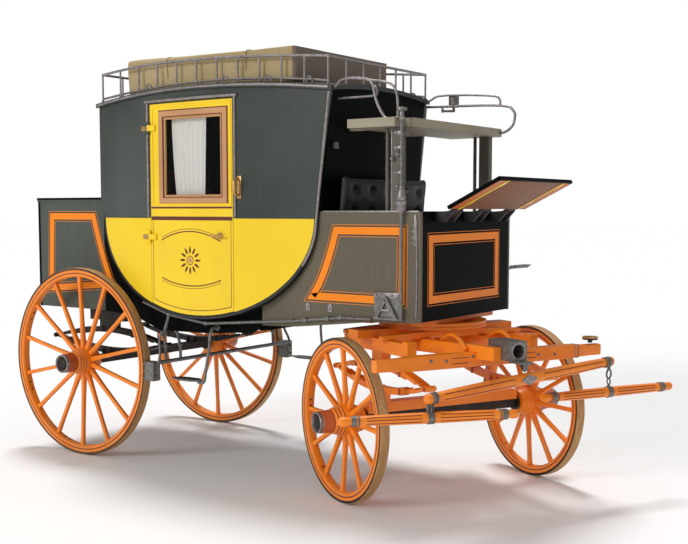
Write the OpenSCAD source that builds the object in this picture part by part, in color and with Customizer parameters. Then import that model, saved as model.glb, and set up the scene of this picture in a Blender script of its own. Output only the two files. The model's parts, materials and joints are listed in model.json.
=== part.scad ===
// Horse-drawn stagecoach: bulged boat-shaped cabin between a hind boot and a
// covered driver's box, on a sprung rear axle and a steering fore-carriage.
// Millimetres, +X forward, +Y to the coach's left, +Z up, ground at z = 0.

/* [Wheels] */
// Radius of a rear wheel over its iron tyre
rear_wheel_r = 650; // [560:5:690]
// Radius of a front wheel over its iron tyre
front_wheel_r = 481; // [400:1:500]
// Width of a wheel's rim
rim_w = 60; // [40:1:75]
// Depth of the wooden felloe
felloe_h = 50; // [35:1:60]
// Thickness of the iron tyre
tyre_t = 13; // [8:1:20]
// Number of spokes in a rear wheel
rear_spokes = 14; // [10:2:16]
// Number of spokes in a front wheel
front_spokes = 12; // [8:2:14]
// Largest radius of the nave
nave_r = 92; // [70:1:110]
// How far the nave and its cap stand out past the rim
nave_out = 148; // [100:1:170]
// Radius of the axle arm that the wheel turns on
arm_r = 27; // [20:1:32]

/* [Running gear] */
// Distance between the two axles
wheelbase = 2517; // [2300:1:2700]
// Distance of the king pin behind the front axle
king_back = 108; // [60:1:150]
// Distance over the rear wheels' outer rim faces
rear_track = 1464; // [1440:1:1560]
// Distance over the front wheels' outer rim faces
front_track = 1435; // [1400:1:1560]
// Angle that the fore-carriage stands at, turned to the right
steer_angle = 26; // [0:1:30]
// Outer radius of the turntable ring
turntable_r = 330; // [260:5:360]
// Half length of the splinter bar
splinter_half = 780; // [700:5:820]
// Half length of the evener
evener_half = 705; // [690:5:720]
// Half length of a swingletree
swingletree_half = 480; // [400:5:500]
// Radius of the hole for the draught pole
pole_r = 38; // [30:1:42]

/* [Cabin] */
// Half width of the cabin at its widest point
cabin_half = 640; // [600:1:650]
// How much narrower each side is at the cabin's ends
cabin_bulge = 95; // [60:1:110]
// Rear edge of the cabin, ahead of the rear axle
cabin_rear = 55; // [30:1:80]
// Front edge of the cabin at the roof
cabin_front = 2028; // [1960:1:2060]
// Height of the belt, where the boat-shaped lower half begins
belt_z = 1645; // [1600:1:1690]
// Lowest point of the boat-shaped lower half
boat_z = 999; // [980:1:1030]
// Height of the side walls at the corners
eaves_z = 2400; // [2340:1:2440]
// Rise of the roof line from the corners to the middle
roof_rise = 55; // [20:1:70]
// Further rise of the roof across its width
roof_crown = 35; // [10:1:50]
// Thickness of the cabin's walls
wall = 25; // [18:1:32]
// Thickness of the roof
roof_t = 28; // [20:1:36]

/* [Doors] */
// Rear edge of the door, ahead of the rear axle
door_rear = 618; // [600:1:680]
// Front edge of the door
door_front = 1346; // [1300:1:1380]
// Top of the door
door_top = 2386; // [2340:1:2390]
// Gap round the door
door_gap = 4; // [2:0.5:6]
// Width of the window glass that shows
window_w = 506; // [440:1:540]
// Bottom of the window
window_low = 1780; // [1760:1:1840]
// Top of the window
window_high = 2292; // [2240:1:2310]

/* [Boots] */
// Rear face of the hind boot, behind the rear axle
hind_boot_back = 640; // [560:1:660]
// Half width of the hind boot
hind_boot_half = 520; // [460:1:530]
// Top of the hind boot
hind_boot_top = 1779; // [1740:1:1800]
// Bottom of the hind boot
hind_boot_low = 995; // [985:1:1010]
// Front face of the driver's box
box_front = 2653; // [2600:1:2720]
// Half width of the driver's box
box_half = 546; // [540:1:560]
// Top of the driver's box
box_top = 1688; // [1670:1:1700]
// Bottom of the driver's box at its front
box_low = 1062; // [1050:1:1070]
// Thickness of the boots' boards
board = 20; // [14:1:24]

/* [Canopy and flap] */
// Front edge of the canopy
canopy_front = 2574; // [2540:1:2620]
// Length of the canopy
canopy_len = 384; // [340:1:400]
// Half width of the canopy
canopy_half = 602; // [580:1:620]
// Top of the canopy
canopy_top = 2214; // [2190:1:2230]
// Thickness of the canopy's edge
canopy_t = 50; // [36:1:60]
// Length of the knee flap
flap_len = 380; // [320:1:400]
// Half width of the knee flap
flap_half = 478; // [420:1:484]
// Angle of the knee flap above level
flap_angle = 26.6; // [0:0.1:40]
// Thickness of the knee flap
flap_t = 22; // [16:1:26]

/* [Roof load] */
// Rear end of the roof luggage box
luggage_rear = 285; // [240:1:320]
// Front end of the roof luggage box
luggage_front = 1750; // [1650:1:1780]
// Half width of the luggage box
luggage_half = 518; // [440:1:525]
// Top of the luggage box
luggage_top = 2714; // [2680:1:2760]
// Highest point of the gallery's top rail
gallery_top = 2656; // [2600:1:2670]
// Number of gallery posts along each side
gallery_posts = 12; // [7:1:14]

/* [Frame] */
// Distance of the frame's origin ahead of the rear axle
origin_x = 1509.3; // [1200:0.1:1800]
// Distance of the frame's origin to the coach's left
origin_y = -260.6; // [-400:0.1:400]

/* [Hidden] */
// Horizontal geometry of the bulged sides: each is an arc of a large circle
cabin_belt_rear = 93;
cabin_belt_front = 1943;
cabin_mid = (cabin_rear + cabin_front) / 2;
cabin_len_half = (cabin_front - cabin_rear) / 2;
bulge_r = (cabin_len_half * cabin_len_half + cabin_bulge * cabin_bulge) / (2 * cabin_bulge);
// The boat-shaped lower half is half an ellipse hung from the belt
boat_mid = (cabin_belt_rear + cabin_belt_front) / 2;
boat_a = (cabin_belt_front - cabin_belt_rear) / 2;
boat_b = belt_z - boat_z;
boat_skin = 20;
king_x = wheelbase - king_back;
axle_u = king_back;
// Half the axle's square bed, a little fuller than its arms
axle_half = arm_r + 1;
window_mid = 1008;
far = 3000;
// Heights of the fore-carriage, from the top down
plate_t = 18;
ring_w = 60;
turntable_z = 1012;
futchell_h = 75;
futchell_z = 868;
splinter_z = 865;
splinter_h = 84;
splinter_w = 72;
splinter_u = 620;
socket_z = 925;
evener_place = [900, 15, 778];
evener_yaw = 6.8;
evener_roll = 3.4;
evener_r = 33;
// Middle and turn of each swingletree: u, v, z, turn
right_swing = [980, -655, 640, -14.8];
left_swing = [820, 688, 640, -1.6];
swingletree_r = 30;
axle_bed_h = 60;
spring_v = 430;
leaf_w = 58;
leaf_t = 12;
// Clearance of a shaft in its hole
running = 0.05;
// Clearance below what rests on a curved face
bedding = 0.3;
floor_z = 1078;
flap_x = 2765;
flap_z = 1700;
hinge_out = 12;
// Barrel of a door's hinge, and how far its fixed halves stand from its middle
knuckle_r = 8;
knuckle_h = 40;
knuckle_step = 3 * knuckle_h / 4 + bedding;
door_hinge_z = [1520, 2230];
// Seats in the cabin and at the driver's box
seat_z = 1395;
seat_rear_front = 575;
seat_fore_front = 1440;
seat_rear_back = 200;
seat_half = bulge_y(seat_rear_back, wall) - 56.5;
riser_t = 18;
driver_seat_z = 1480;
// Hind boot
boot_wall_x = cabin_rear - 2;
boot_door_half = 430;
boot_hinge_z = [1174, 1586];
// How far the roof stands out all round
roof_over = 16;
// Posts under the canopy
post_y = 498;
post_w = 46;
post_x = 2452;
// Gallery round the roof
gallery_y = 549;
gallery_rear = 100;
gallery_front = 2016;
gallery_peak_x = 750;
// The pull rod follows the boat curve from the spindle's foot to the beam at the rear wheels
brake_y = -600;
brake_path = [[500, -588, 1080], [750, brake_y, 1010], [1080, brake_y, 970], [1770, -580, 1026],
    [2120, -572, 1064], [2340, -572, 1068]];
beam_x = 745;
beam_z = 700;
stay_y = hind_boot_half - board - 10;
saddle_top = evener_place[2] + evener_r + 14;

function bulge_y(x, inset = 0) =
    sqrt(pow(bulge_r - inset, 2) - pow(x - cabin_mid, 2)) - bulge_r + cabin_half;
function roof_line(x) = eaves_z + roof_rise * (1 - pow((x - cabin_mid) / cabin_len_half, 2));
function roof_z(x, y) = roof_line(x) + roof_crown * (1 - pow(y / bulge_y(x), 2));
// Lowest height at which a round foot clears the roof's top
function roof_foot_z(x, y, r) = bedding + roof_t
    + max([for (a = [0 : 45 : 315]) roof_z(x + r * cos(a), y + r * sin(a))]);
function sill_z(x) = lookup(x, [[0, 998], [350, 968], [590, 888], [1000, 894], [1405, 925],
    [1504, 979], [1780, 989], [2296, 1046], [box_front, box_low]]);

// ---------- placing ----------
module in_frame() {
    translate([-origin_x, -origin_y, 0]) children();
}
module on_king_pin() {
    in_frame() translate([king_x, 0, 0]) rotate([0, 0, -steer_angle]) children();
}
module both_sides() {
    children();
    mirror([0, 1, 0]) children();
}
// A round bar from one point to another
module bar(p, q, r) {
    v = q - p;
    translate(p) rotate([0, acos(v[2] / norm(v)), atan2(v[1], v[0])])
        cylinder(h = norm(v), r = r, $fn = 32);
}
// Round bars along a list of points, joined by short drums that lie across each bend
module tube(points, r) {
    n = len(points);
    stop_share = 0.6;
    rim_share = 0.18;
    drum_share = 2.3;
    function turn(i) = let (a = points[i] - points[i - 1], b = points[i + 1] - points[i])
        acos(min(1, a * b / (norm(a) * norm(b))));
    // Each straight stops short of its bend, inside the drum
    function back(i) = i == 0 || i == n - 1 ? 0 : r * max(stop_share, tan(turn(i) / 2) + 0.1);
    for (i = [1 : n - 1]) let (v = points[i] - points[i - 1], d = v / norm(v))
        bar(points[i - 1] + back(i - 1) * d, points[i] - back(i) * d, r);
    for (i = [1 : 1 : n - 2])
        let (c = cross(points[i] - points[i - 1], points[i + 1] - points[i]), w = c / max(norm(c), 0.001))
            translate(points[i]) rotate([0, acos(w[2]), atan2(w[1], w[0])])
                cylinder(h = drum_share * r, r = norm([back(i), r]) + rim_share * r,
                    center = true, $fn = 32);
}
// A board between two opposite corners
module block(low, high) {
    translate(low) cube(high - low);
}
// A side outline in X and Z, pushed through from y0 to y1
module side_cut(y0, y1) {
    translate([0, y1, 0]) rotate([90, 0, 0]) linear_extrude(y1 - y0) children();
}
// An outline in Y and Z, pushed along X from x0 to x1
module end_cut(x0, x1) {
    translate([x0, 0, 0]) rotate([90, 0, 90]) linear_extrude(x1 - x0) children();
}

// ---------- wheels ----------
// Local frame: the wheel turns about Y, its outer face towards -Y, the rim's middle at y = 0
module wheel_wood(r, spokes) {
    felloe_out = r - tyre_t;
    felloe_in = felloe_out - felloe_h;
    nave_back = 120;
    spoke_foot = 26;
    spoke_t = 30;
    dish = atan(spoke_foot / felloe_in);
    rotate([90, 0, 0]) difference() {
        cylinder(h = rim_w, r = felloe_out, center = true, $fn = 128);
        cylinder(h = rim_w + 2, r = felloe_in, center = true, $fn = 128);
    }
    for (i = [0 : spokes - 1]) rotate([0, i * 360 / spokes, 0])
        translate([0, spoke_foot, 0]) rotate([dish, 0, 0])
            translate([0, spoke_t / 2, 0]) rotate([90, 0, 0]) linear_extrude(spoke_t)
                polygon([[-18, nave_r - 8], [18, nave_r - 8], [14, felloe_in + 6], [-14, felloe_in + 6]]);
    // the nave is turned on its axis and bored for the axle arm
    rotate([90, 0, 0]) rotate_extrude($fn = 96)
        polygon([[arm_r + running, -nave_back], [72, -nave_back], [80, -nave_back + 30],
            [nave_r, -60], [nave_r, 20], [84, 36], [84, 60], [76, 66], [76, 88], [66, 94],
            [66, rim_w / 2 + nave_out - 14], [60, rim_w / 2 + nave_out],
            [0, rim_w / 2 + nave_out], [0, rim_w / 2 + nave_out - 16],
            [arm_r + running, rim_w / 2 + nave_out - 16]]);
}
module wheel_tyre(r) {
    rotate([90, 0, 0]) difference() {
        cylinder(h = rim_w, r = r, center = true, $fn = 128);
        cylinder(h = rim_w + 2, r = r - tyre_t, center = true, $fn = 128);
    }
}
module rear_right_place() {
    in_frame() translate([0, -rear_track / 2 + rim_w / 2, rear_wheel_r]) children();
}
module rear_left_place() {
    in_frame() mirror([0, 1, 0]) translate([0, -rear_track / 2 + rim_w / 2, rear_wheel_r]) children();
}
module front_right_place() {
    on_king_pin() translate([axle_u, -front_track / 2 + rim_w / 2, front_wheel_r]) children();
}
module front_left_place() {
    on_king_pin() mirror([0, 1, 0])
        translate([axle_u, -front_track / 2 + rim_w / 2, front_wheel_r]) children();
}
module rear_right_wheel() {
    color("darkorange") rear_right_place() wheel_wood(rear_wheel_r, rear_spokes);
}
module rear_left_wheel() {
    color("darkorange") rear_left_place() wheel_wood(rear_wheel_r, rear_spokes);
}
module front_right_wheel() {
    color("darkorange") front_right_place() wheel_wood(front_wheel_r, front_spokes);
}
module front_left_wheel() {
    color("darkorange") front_left_place() wheel_wood(front_wheel_r, front_spokes);
}
module rear_right_tyre() { color("tan") rear_right_place() wheel_tyre(rear_wheel_r); }
module rear_left_tyre() { color("tan") rear_left_place() wheel_tyre(rear_wheel_r); }
module front_right_tyre() { color("tan") front_right_place() wheel_tyre(front_wheel_r); }
module front_left_tyre() { color("tan") front_left_place() wheel_tyre(front_wheel_r); }

// An axle along Y through the origin: square bed between the naves, round arms in them
module axle(track) {
    arm_end = track / 2 + nave_out - 24;
    bed_half = track / 2 - rim_w / 2 - 120 - 8;
    rotate([90, 0, 0]) cylinder(h = 2 * arm_end, r = arm_r, center = true, $fn = 64);
    cube([2 * axle_half, 2 * bed_half, 2 * axle_half], center = true);
    for (s = [-1, 1]) translate([0, s * (bed_half - 8), 0])
        rotate([90, 0, 0]) cylinder(h = 16, r = arm_r + 21, center = true, $fn = 64);
}
// A full elliptic spring along X: two bowed packs of leaves that meet in eyes at the ends
module elliptic_spring(half, rise, leaves) {
    arc_r = (half * half + rise * rise) / (2 * rise);
    sweep_a = asin(half / arc_r);
    for (k = [0, 1]) mirror([0, 0, k]) for (i = [0 : leaves - 1]) {
        a = sweep_a * (1 - 0.2 * i);
        translate([0, leaf_w / 2, rise - arc_r]) rotate([90, 0, 0]) rotate([0, 0, 90 - a])
            rotate_extrude(angle = 2 * a, $fn = 128)
                translate([arc_r - (i + 1) * leaf_t, 0]) square([leaf_t, leaf_w]);
    }
    for (s = [-1, 1]) translate([s * half, 0, 0]) rotate([90, 0, 0])
        cylinder(h = leaf_w + 6, r = 17, center = true, $fn = 48);
}

// ---------- cabin ----------
// The cabin's outline from above, set in by a wall's thickness
module cabin_plan(inset = 0) {
    intersection() {
        translate([cabin_mid, bulge_r - cabin_half]) circle(bulge_r - inset, $fn = 256);
        translate([cabin_mid, cabin_half - bulge_r]) circle(bulge_r - inset, $fn = 256);
        translate([cabin_rear - 20, -cabin_half]) square([cabin_front - cabin_rear + 60, 2 * cabin_half]);
    }
}
module boat_outline(inset = 0) {
    polygon([for (i = [0 : 40]) let (a = 180 + i * 4.5)
        [boat_mid + (boat_a - inset) * cos(a), belt_z + (boat_b - inset) * sin(a)]]);
}
module upper_outline() {
    steps = 16;
    polygon(concat([[cabin_belt_rear + boat_skin, belt_z], [cabin_rear + 6, belt_z + 75],
        [cabin_rear, belt_z + 140]],
        [for (i = [0 : steps]) let (x = cabin_rear + i * (cabin_front - cabin_rear) / steps)
            [x, roof_line(x) - bedding]],
        [[cabin_belt_front - boat_skin, belt_z]]));
}
module door_outline(gap) {
    intersection() {
        union() {
            boat_outline(boat_skin + gap);
            upper_outline();
        }
        translate([door_rear + gap, 0]) square([door_front - door_rear - 2 * gap, door_top - gap]);
    }
}
module side_shell() {
    intersection() {
        difference() {
            linear_extrude(far) cabin_plan();
            translate([0, 0, -1]) linear_extrude(far + 2) cabin_plan(wall);
        }
        side_cut(-far, 0) children();
    }
}
module side_panel() {
    side_shell() difference() {
        union() {
            boat_outline(boat_skin);
            upper_outline();
        }
        translate([door_rear, 0]) square([door_front - door_rear, door_top]);
    }
    // the fixed halves of the door's hinges
    for (z = door_hinge_z, s = [-1, 1])
        translate([door_rear, -bulge_y(door_rear) - hinge_out, z + s * knuckle_step]) {
            cylinder(h = knuckle_h / 2, r = knuckle_r, center = true, $fn = 32);
            block([-50, -4, -knuckle_h / 4], [0, hinge_out + 6, knuckle_h / 4]);
        }
}
module right_side_panel() { color("darkslategray") in_frame() side_panel(); }
module left_side_panel() { color("darkslategray") in_frame() mirror([0, 1, 0]) side_panel(); }

module door_leaf() {
    side_shell() difference() {
        door_outline(door_gap);
        translate([window_mid - window_w / 2, window_low]) square([window_w, window_high - window_low]);
    }
    // two iron hinges, whose pins stand outside the door's rear edge
    for (z = door_hinge_z) translate([door_rear, -bulge_y(door_rear) - hinge_out, z]) {
        cylinder(h = knuckle_h, r = knuckle_r, center = true, $fn = 32);
        block([0, -6, -18], [60, hinge_out + 6, 18]);
    }
}
module right_door() { color("gold") in_frame() door_leaf(); }
module left_door() { color("gold") in_frame() mirror([0, 1, 0]) door_leaf(); }

module window_glass() {
    pane_in = 10;
    intersection() {
        difference() {
            linear_extrude(far) cabin_plan(pane_in);
            translate([0, 0, -1]) linear_extrude(far + 2) cabin_plan(pane_in + 4);
        }
        side_cut(-far, 0) translate([window_mid - window_w / 2, window_low])
            square([window_w, window_high - window_low]);
    }
}
module right_door_glass() { color("lightblue", 0.4) in_frame() window_glass(); }
module left_door_glass() { color("lightblue", 0.4) in_frame() mirror([0, 1, 0]) window_glass(); }

module lever_handle() {
    lever_x = 1240;
    lever_z = 1535;
    stem = 30;
    grip_half = 48;
    // turned square to the bulged door
    translate([lever_x, -bulge_y(lever_x) - 0.1, lever_z])
        rotate([0, 0, asin((lever_x - cabin_mid) / bulge_r)]) {
            bar([0, 0, 0], [0, -stem, 0], 9);
            bar([-grip_half, -stem - 4, 0], [grip_half, -stem - 4, 0], 8);
            rotate([90, 0, 0]) cylinder(h = 6, r = 22, $fn = 48);
        }
}
module right_door_lever() { color("silver") in_frame() lever_handle(); }
module left_door_lever() { color("silver") in_frame() mirror([0, 1, 0]) lever_handle(); }

// The floor, the curved bottom that follows the boat outline, and the risers of both seats
module cabin_floor() {
    color("saddlebrown") in_frame() {
        intersection() {
            linear_extrude(far) cabin_plan();
            side_cut(-far, far) difference() {
                boat_outline();
                boat_outline(boat_skin);
            }
        }
        intersection() {
            translate([0, 0, floor_z - 24]) linear_extrude(24) cabin_plan(wall + 6);
            side_cut(-far, far) boat_outline(boat_skin - 2);
        }
        for (x = [seat_rear_front - riser_t, seat_fore_front])
            block([x, -seat_half - 10, floor_z - 2], [x + riser_t, seat_half + 10, seat_z]);
    }
}
module bench(front, back, wall_x, lean) {
    low = min(front, back);
    high = max(front, back);
    top = seat_z + 100;
    back_half = seat_half - 10;
    difference() {
        block([low, -seat_half, seat_z + bedding], [high, seat_half, top]);
        for (y = [-seat_half, seat_half]) translate([low - 1, y, top]) rotate([0, 90, 0])
            cylinder(h = high - low + 2, r = 18, $fn = 32);
    }
    // the back is cut level where it meets the seat
    intersection() {
        translate([wall_x, 0, top + 1]) rotate([0, lean, 0])
            block([-35, -back_half, -20], [35, back_half, 520]);
        translate([0, -far, top + bedding]) cube([far, 2 * far, far]);
    }
}
module rear_seat() { color("maroon") in_frame() bench(seat_rear_back, seat_rear_front, 186, -2); }
module front_seat() { color("maroon") in_frame() bench(1822, seat_fore_front, 1852, 6); }

module front_wall() {
    lean = atan((cabin_front - cabin_belt_front) / (eaves_z - belt_z));
    color("black") in_frame() intersection() {
        translate([cabin_belt_front, 0, belt_z]) rotate([0, lean, 0])
            block([-wall, -far, -60], [0, far, 2 * wall + eaves_z - belt_z]);
        linear_extrude(far) cabin_plan(wall);
        end_cut(0, far) under_roof(cabin_front);
        side_cut(-far, far) translate([0, belt_z]) square([far, far]);
    }
}
module under_roof(x) {
    steps = 12;
    w = bulge_y(x);
    polygon(concat([[w, 0]], [for (i = [0 : steps]) let (y = w - i * 2 * w / steps)
        [y, roof_line(x) + roof_crown * (1 - pow(y / w, 2)) - 1]], [[-w, 0]]));
}
module rear_wall() {
    color("darkslategray") in_frame() intersection() {
        block([cabin_rear, -far, belt_z], [cabin_rear + wall, far, far]);
        linear_extrude(far) cabin_plan(wall);
        end_cut(0, far) under_roof(cabin_rear);
    }
}
// The roof is crowned both ways, so it is built on a grid of points
module roof() {
    nx = 16;
    ny = 10;
    function px(i) = cabin_rear + i * (cabin_front - cabin_rear) / nx;
    function edge_x(i) = i == 0 ? px(0) - roof_over : i == nx ? px(nx) + roof_over : px(i);
    function py(i, j) = (2 * j / ny - 1) * (bulge_y(px(i)) + roof_over);
    function at(i, j, t) = [edge_x(i), py(i, j), roof_z(edge_x(i), py(i, j)) + t];
    n = (nx + 1) * (ny + 1);
    function id(i, j, k) = k * n + i * (ny + 1) + j;
    color("darkslategray") in_frame() polyhedron(
        [for (k = [0, 1], i = [0 : nx], j = [0 : ny]) at(i, j, k * roof_t)],
        concat(
            [for (i = [0 : nx - 1], j = [0 : ny - 1])
                [id(i, j, 1), id(i, j + 1, 1), id(i + 1, j + 1, 1), id(i + 1, j, 1)]],
            [for (i = [0 : nx - 1], j = [0 : ny - 1])
                [id(i, j, 0), id(i + 1, j, 0), id(i + 1, j + 1, 0), id(i, j + 1, 0)]],
            [for (i = [0 : nx - 1]) [id(i, 0, 0), id(i, 0, 1), id(i + 1, 0, 1), id(i + 1, 0, 0)]],
            [for (i = [0 : nx - 1]) [id(i, ny, 0), id(i + 1, ny, 0), id(i + 1, ny, 1), id(i, ny, 1)]],
            [for (j = [0 : ny - 1]) [id(0, j, 0), id(0, j + 1, 0), id(0, j + 1, 1), id(0, j, 1)]],
            [for (j = [0 : ny - 1]) [id(nx, j, 0), id(nx, j, 1), id(nx, j + 1, 1), id(nx, j + 1, 0)]]));
}

// ---------- boots ----------
module hind_boot() {
    door_low = 1060;
    door_high = 1700;
    color("darkslategray") in_frame() {
        difference() {
            block([-hind_boot_back, -hind_boot_half, hind_boot_low],
                [boot_wall_x, hind_boot_half, hind_boot_top - 24]);
            block([-hind_boot_back + board, -hind_boot_half + board, hind_boot_low + board],
                [boot_wall_x - board, hind_boot_half - board, hind_boot_top]);
            block([-hind_boot_back - 1, -boot_door_half - door_gap, door_low],
                [-hind_boot_back + board + 1, boot_door_half + door_gap, door_high]);
        }
        // the fixed halves of the rear door's hinges
        for (z = boot_hinge_z, s = [-1, 1])
            translate([-hind_boot_back - 10, boot_door_half + 4, z + s * knuckle_step]) {
                cylinder(h = knuckle_h / 2, r = knuckle_r, center = true, $fn = 32);
                block([-5, 0, -knuckle_h / 4], [12, 50, knuckle_h / 4]);
            }
        // the top board overhangs a little all round
        block([-hind_boot_back - 8, -hind_boot_half - 8, hind_boot_top - 24],
            [boot_wall_x, hind_boot_half + 8, hind_boot_top]);
    }
}
module boot_door() {
    low = 1060 + door_gap;
    high = 1700 - door_gap;
    x = -hind_boot_back;
    color("darkslategray") in_frame() {
        block([x, -boot_door_half, low], [x + board, boot_door_half, high]);
        for (z = boot_hinge_z) translate([x - 10, boot_door_half + 4, z]) {
            cylinder(h = knuckle_h, r = knuckle_r, center = true, $fn = 32);
            block([-5, -74, -18], [12, 0, 18]);
        }
        bar([x + 2, -boot_door_half + 60, 1400], [x - 28, -boot_door_half + 60, 1400], 9);
        bar([x - 30, -boot_door_half + 60, 1355], [x - 30, -boot_door_half + 60, 1445], 8);
    }
}
// The dark sides under and behind the cabin, joined by cross bearers
module underframe() {
    xs = [boot_wall_x, 350, 590, 1000, 1405, 1504];
    color("darkslategray") in_frame() {
        both_sides() intersection() {
            side_cut(-hind_boot_half, -hind_boot_half + board) difference() {
                polygon(concat([[boot_wall_x, belt_z + 60]], [for (x = xs) [x, sill_z(x)]],
                    [[1504, belt_z + 60]]));
                boat_outline();
                upper_outline();
                translate([cabin_rear, belt_z]) square([far, far]);
            }
        }
        for (x = [300, 960, 1420])
            block([x, -hind_boot_half + board, sill_z(x) + 8],
                [x + 70, hind_boot_half - board, sill_z(x) + 62]);
    }
}
module quarter_panel() {
    xs = [1504, 1780, 2296, box_front];
    side_cut(-box_half, -box_half + board) difference() {
        polygon(concat([[1504, belt_z]], [for (x = xs) [x, sill_z(x)]],
            [[box_front, box_top], [1952, box_top], [cabin_belt_front + 1, belt_z]]));
        boat_outline();
    }
}
module right_quarter_panel() { color("olivedrab") in_frame() quarter_panel(); }
module left_quarter_panel() { color("olivedrab") in_frame() mirror([0, 1, 0]) quarter_panel(); }
module front_panel() {
    inner = box_half - board;
    color("black") in_frame()
        block([box_front - board, -inner, box_low + 2], [box_front, inner, box_top]);
}
// The driver's floor, his seat's box and the board behind it
module driver_box() {
    inner = box_half - board;
    driver_floor = box_low + 30;
    color("saddlebrown") in_frame() difference() {
        union() {
            block([1960, -inner, driver_floor - 22], [box_front - board, inner, driver_floor]);
            block([1960, -inner, driver_floor], [2330, inner, driver_seat_z]);
        }
        block([1982, -inner + 20, driver_floor + 1], [2308, inner - 20, driver_seat_z - 22]);
    }
}
module driver_cushion() {
    color("black") in_frame() {
        block([1985, -500, driver_seat_z + bedding], [2345, 500, driver_seat_z + 95]);
        translate([2030, 0, driver_seat_z + 95 + bedding]) rotate([0, 5, 0])
            block([-20, -490, 0], [35, 490, 340]);
    }
}

// ---------- canopy, posts and flap ----------
module canopy() {
    rear = canopy_front - canopy_len;
    color("gray") in_frame() {
        difference() {
            block([rear, -canopy_half, canopy_top - canopy_t], [canopy_front, canopy_half, canopy_top]);
            for (s = [-1, 1]) translate([canopy_front, s * canopy_half, canopy_top])
                rotate([0, 0, 45]) cube([40, 40, 3 * canopy_t], center = true);
            // a notch lets the brake spindle through
            block([2512, -canopy_half - 1, 0], [canopy_front + 1, -post_y, far]);
        }
        // two brackets tie it to the cabin's front wall
        for (s = [-1, 1]) block([2007, s * 300 - 20, canopy_top - canopy_t + 8],
            [rear + 1, s * 300 + 20, canopy_top - 20]);
    }
}
module canopy_posts() {
    post_top = canopy_top - canopy_t;
    color("gray") in_frame() both_sides() {
        block([post_x, -post_y - post_w, box_top], [post_x + 70, -post_y, post_top]);
        bar([post_x - 40, -post_y - 20, box_top], [post_x - 40, -post_y - 20, post_top], 11);
    }
}
module knee_flap() {
    color("sienna") in_frame() translate([flap_x, 0, flap_z]) rotate([0, -flap_angle, 0]) {
        block([20, -flap_half, -flap_t / 2], [flap_len, flap_half, flap_t / 2]);
        for (y = [-330, 0, 330]) {
            translate([0, y, 0]) rotate([90, 0, 0])
                cylinder(h = 77.4, r = 9, center = true, $fn = 32);
            block([0, y - 35, -6], [22, y + 35, 6]);
        }
    }
}
module flap_brackets() {
    color("dimgray") in_frame() for (y = [-330, 0, 330], s = [-1, 1])
        translate([0, y + s * 46, 0]) rotate([90, 0, 0]) linear_extrude(14, center = true)
            polygon([[box_front, box_top - 60], [box_front, box_top - 2], [flap_x - 30, flap_z - 8],
                [flap_x - 6, flap_z + 5], [flap_x + 6, flap_z + 5], [flap_x + 8, flap_z - 8],
                [box_front + 60, box_top - 60]]);
}

// ---------- roof load ----------
function gallery_z(x) = gallery_top - (x < gallery_peak_x ? 38 : 64)
    * pow((x - gallery_peak_x) / (x < gallery_peak_x ? 650 : 1280), 2);
module gallery_rail() {
    post_r = 7;
    rail_r = 9;
    ball_r = 13;
    stop = 8;
    low_rail = 20;
    step = (gallery_front - gallery_rear) / (gallery_posts - 1);
    cross_step = 2 * gallery_y / 6;
    function gx(i) = gallery_rear + i * step;
    function foot(x, y) = roof_foot_z(x, y, ball_r);
    function low(i) = [gx(i), -gallery_y, foot(gx(i), gallery_y) + low_rail];
    function high(i) = [gx(i), -gallery_y, gallery_z(gx(i))];
    module rail(p, q) {
        d = (q - p) / norm(q - p);
        bar(p + stop * d, q - stop * d, rail_r);
    }
    module post(x, y) {
        bar([x, y, foot(x, y)], [x, y, gallery_z(x) - rail_r - 1], post_r);
        translate([x, y, gallery_z(x)]) sphere(r = ball_r, $fn = 32);
        translate([x, y, foot(x, y)]) cylinder(h = low_rail + ball_r, r = ball_r, $fn = 32);
    }
    color("silver") in_frame() {
        both_sides() for (i = [0 : gallery_posts - 1]) {
            post(gx(i), -gallery_y);
            if (i > 0) rail(high(i - 1), high(i));
            if (i > 0) rail(low(i - 1), low(i));
        }
        for (x = [gallery_rear, gallery_front]) for (k = [0 : 5]) let (y = -gallery_y + k * cross_step) {
            if (k > 0) post(x, y);
            rail([x, y, gallery_z(x)], [x, y + cross_step, gallery_z(x)]);
        }
    }
}
module luggage_box() {
    skin = 20;
    steps = 12;
    function base(x, y) = roof_z(x, y) + roof_t + bedding;
    color("tan") in_frame() difference() {
        side_cut(-luggage_half, luggage_half) polygon(concat(
            [for (i = [0 : steps]) let (x = luggage_rear + i * (luggage_front - luggage_rear) / steps)
                [x, base(x, luggage_half - skin)]],
            [[luggage_front, luggage_top - 18], [luggage_rear, luggage_top]]));
        block([luggage_rear + skin, -luggage_half + skin, 0],
            [luggage_front - skin, luggage_half - skin, luggage_top - 18 - skin]);
        // the end boards are cut to the roof's crown
        for (x = [luggage_rear, luggage_front - skin]) end_cut(x - 1, x + skin + 1)
            polygon(concat([[luggage_half - skin, 0]],
                [for (i = [0 : steps]) let (y = (1 - 2 * i / steps) * (luggage_half - skin))
                    [y, max(base(x, y), base(x + skin, y))]], [[-luggage_half + skin, 0]]));
    }
}

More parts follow.
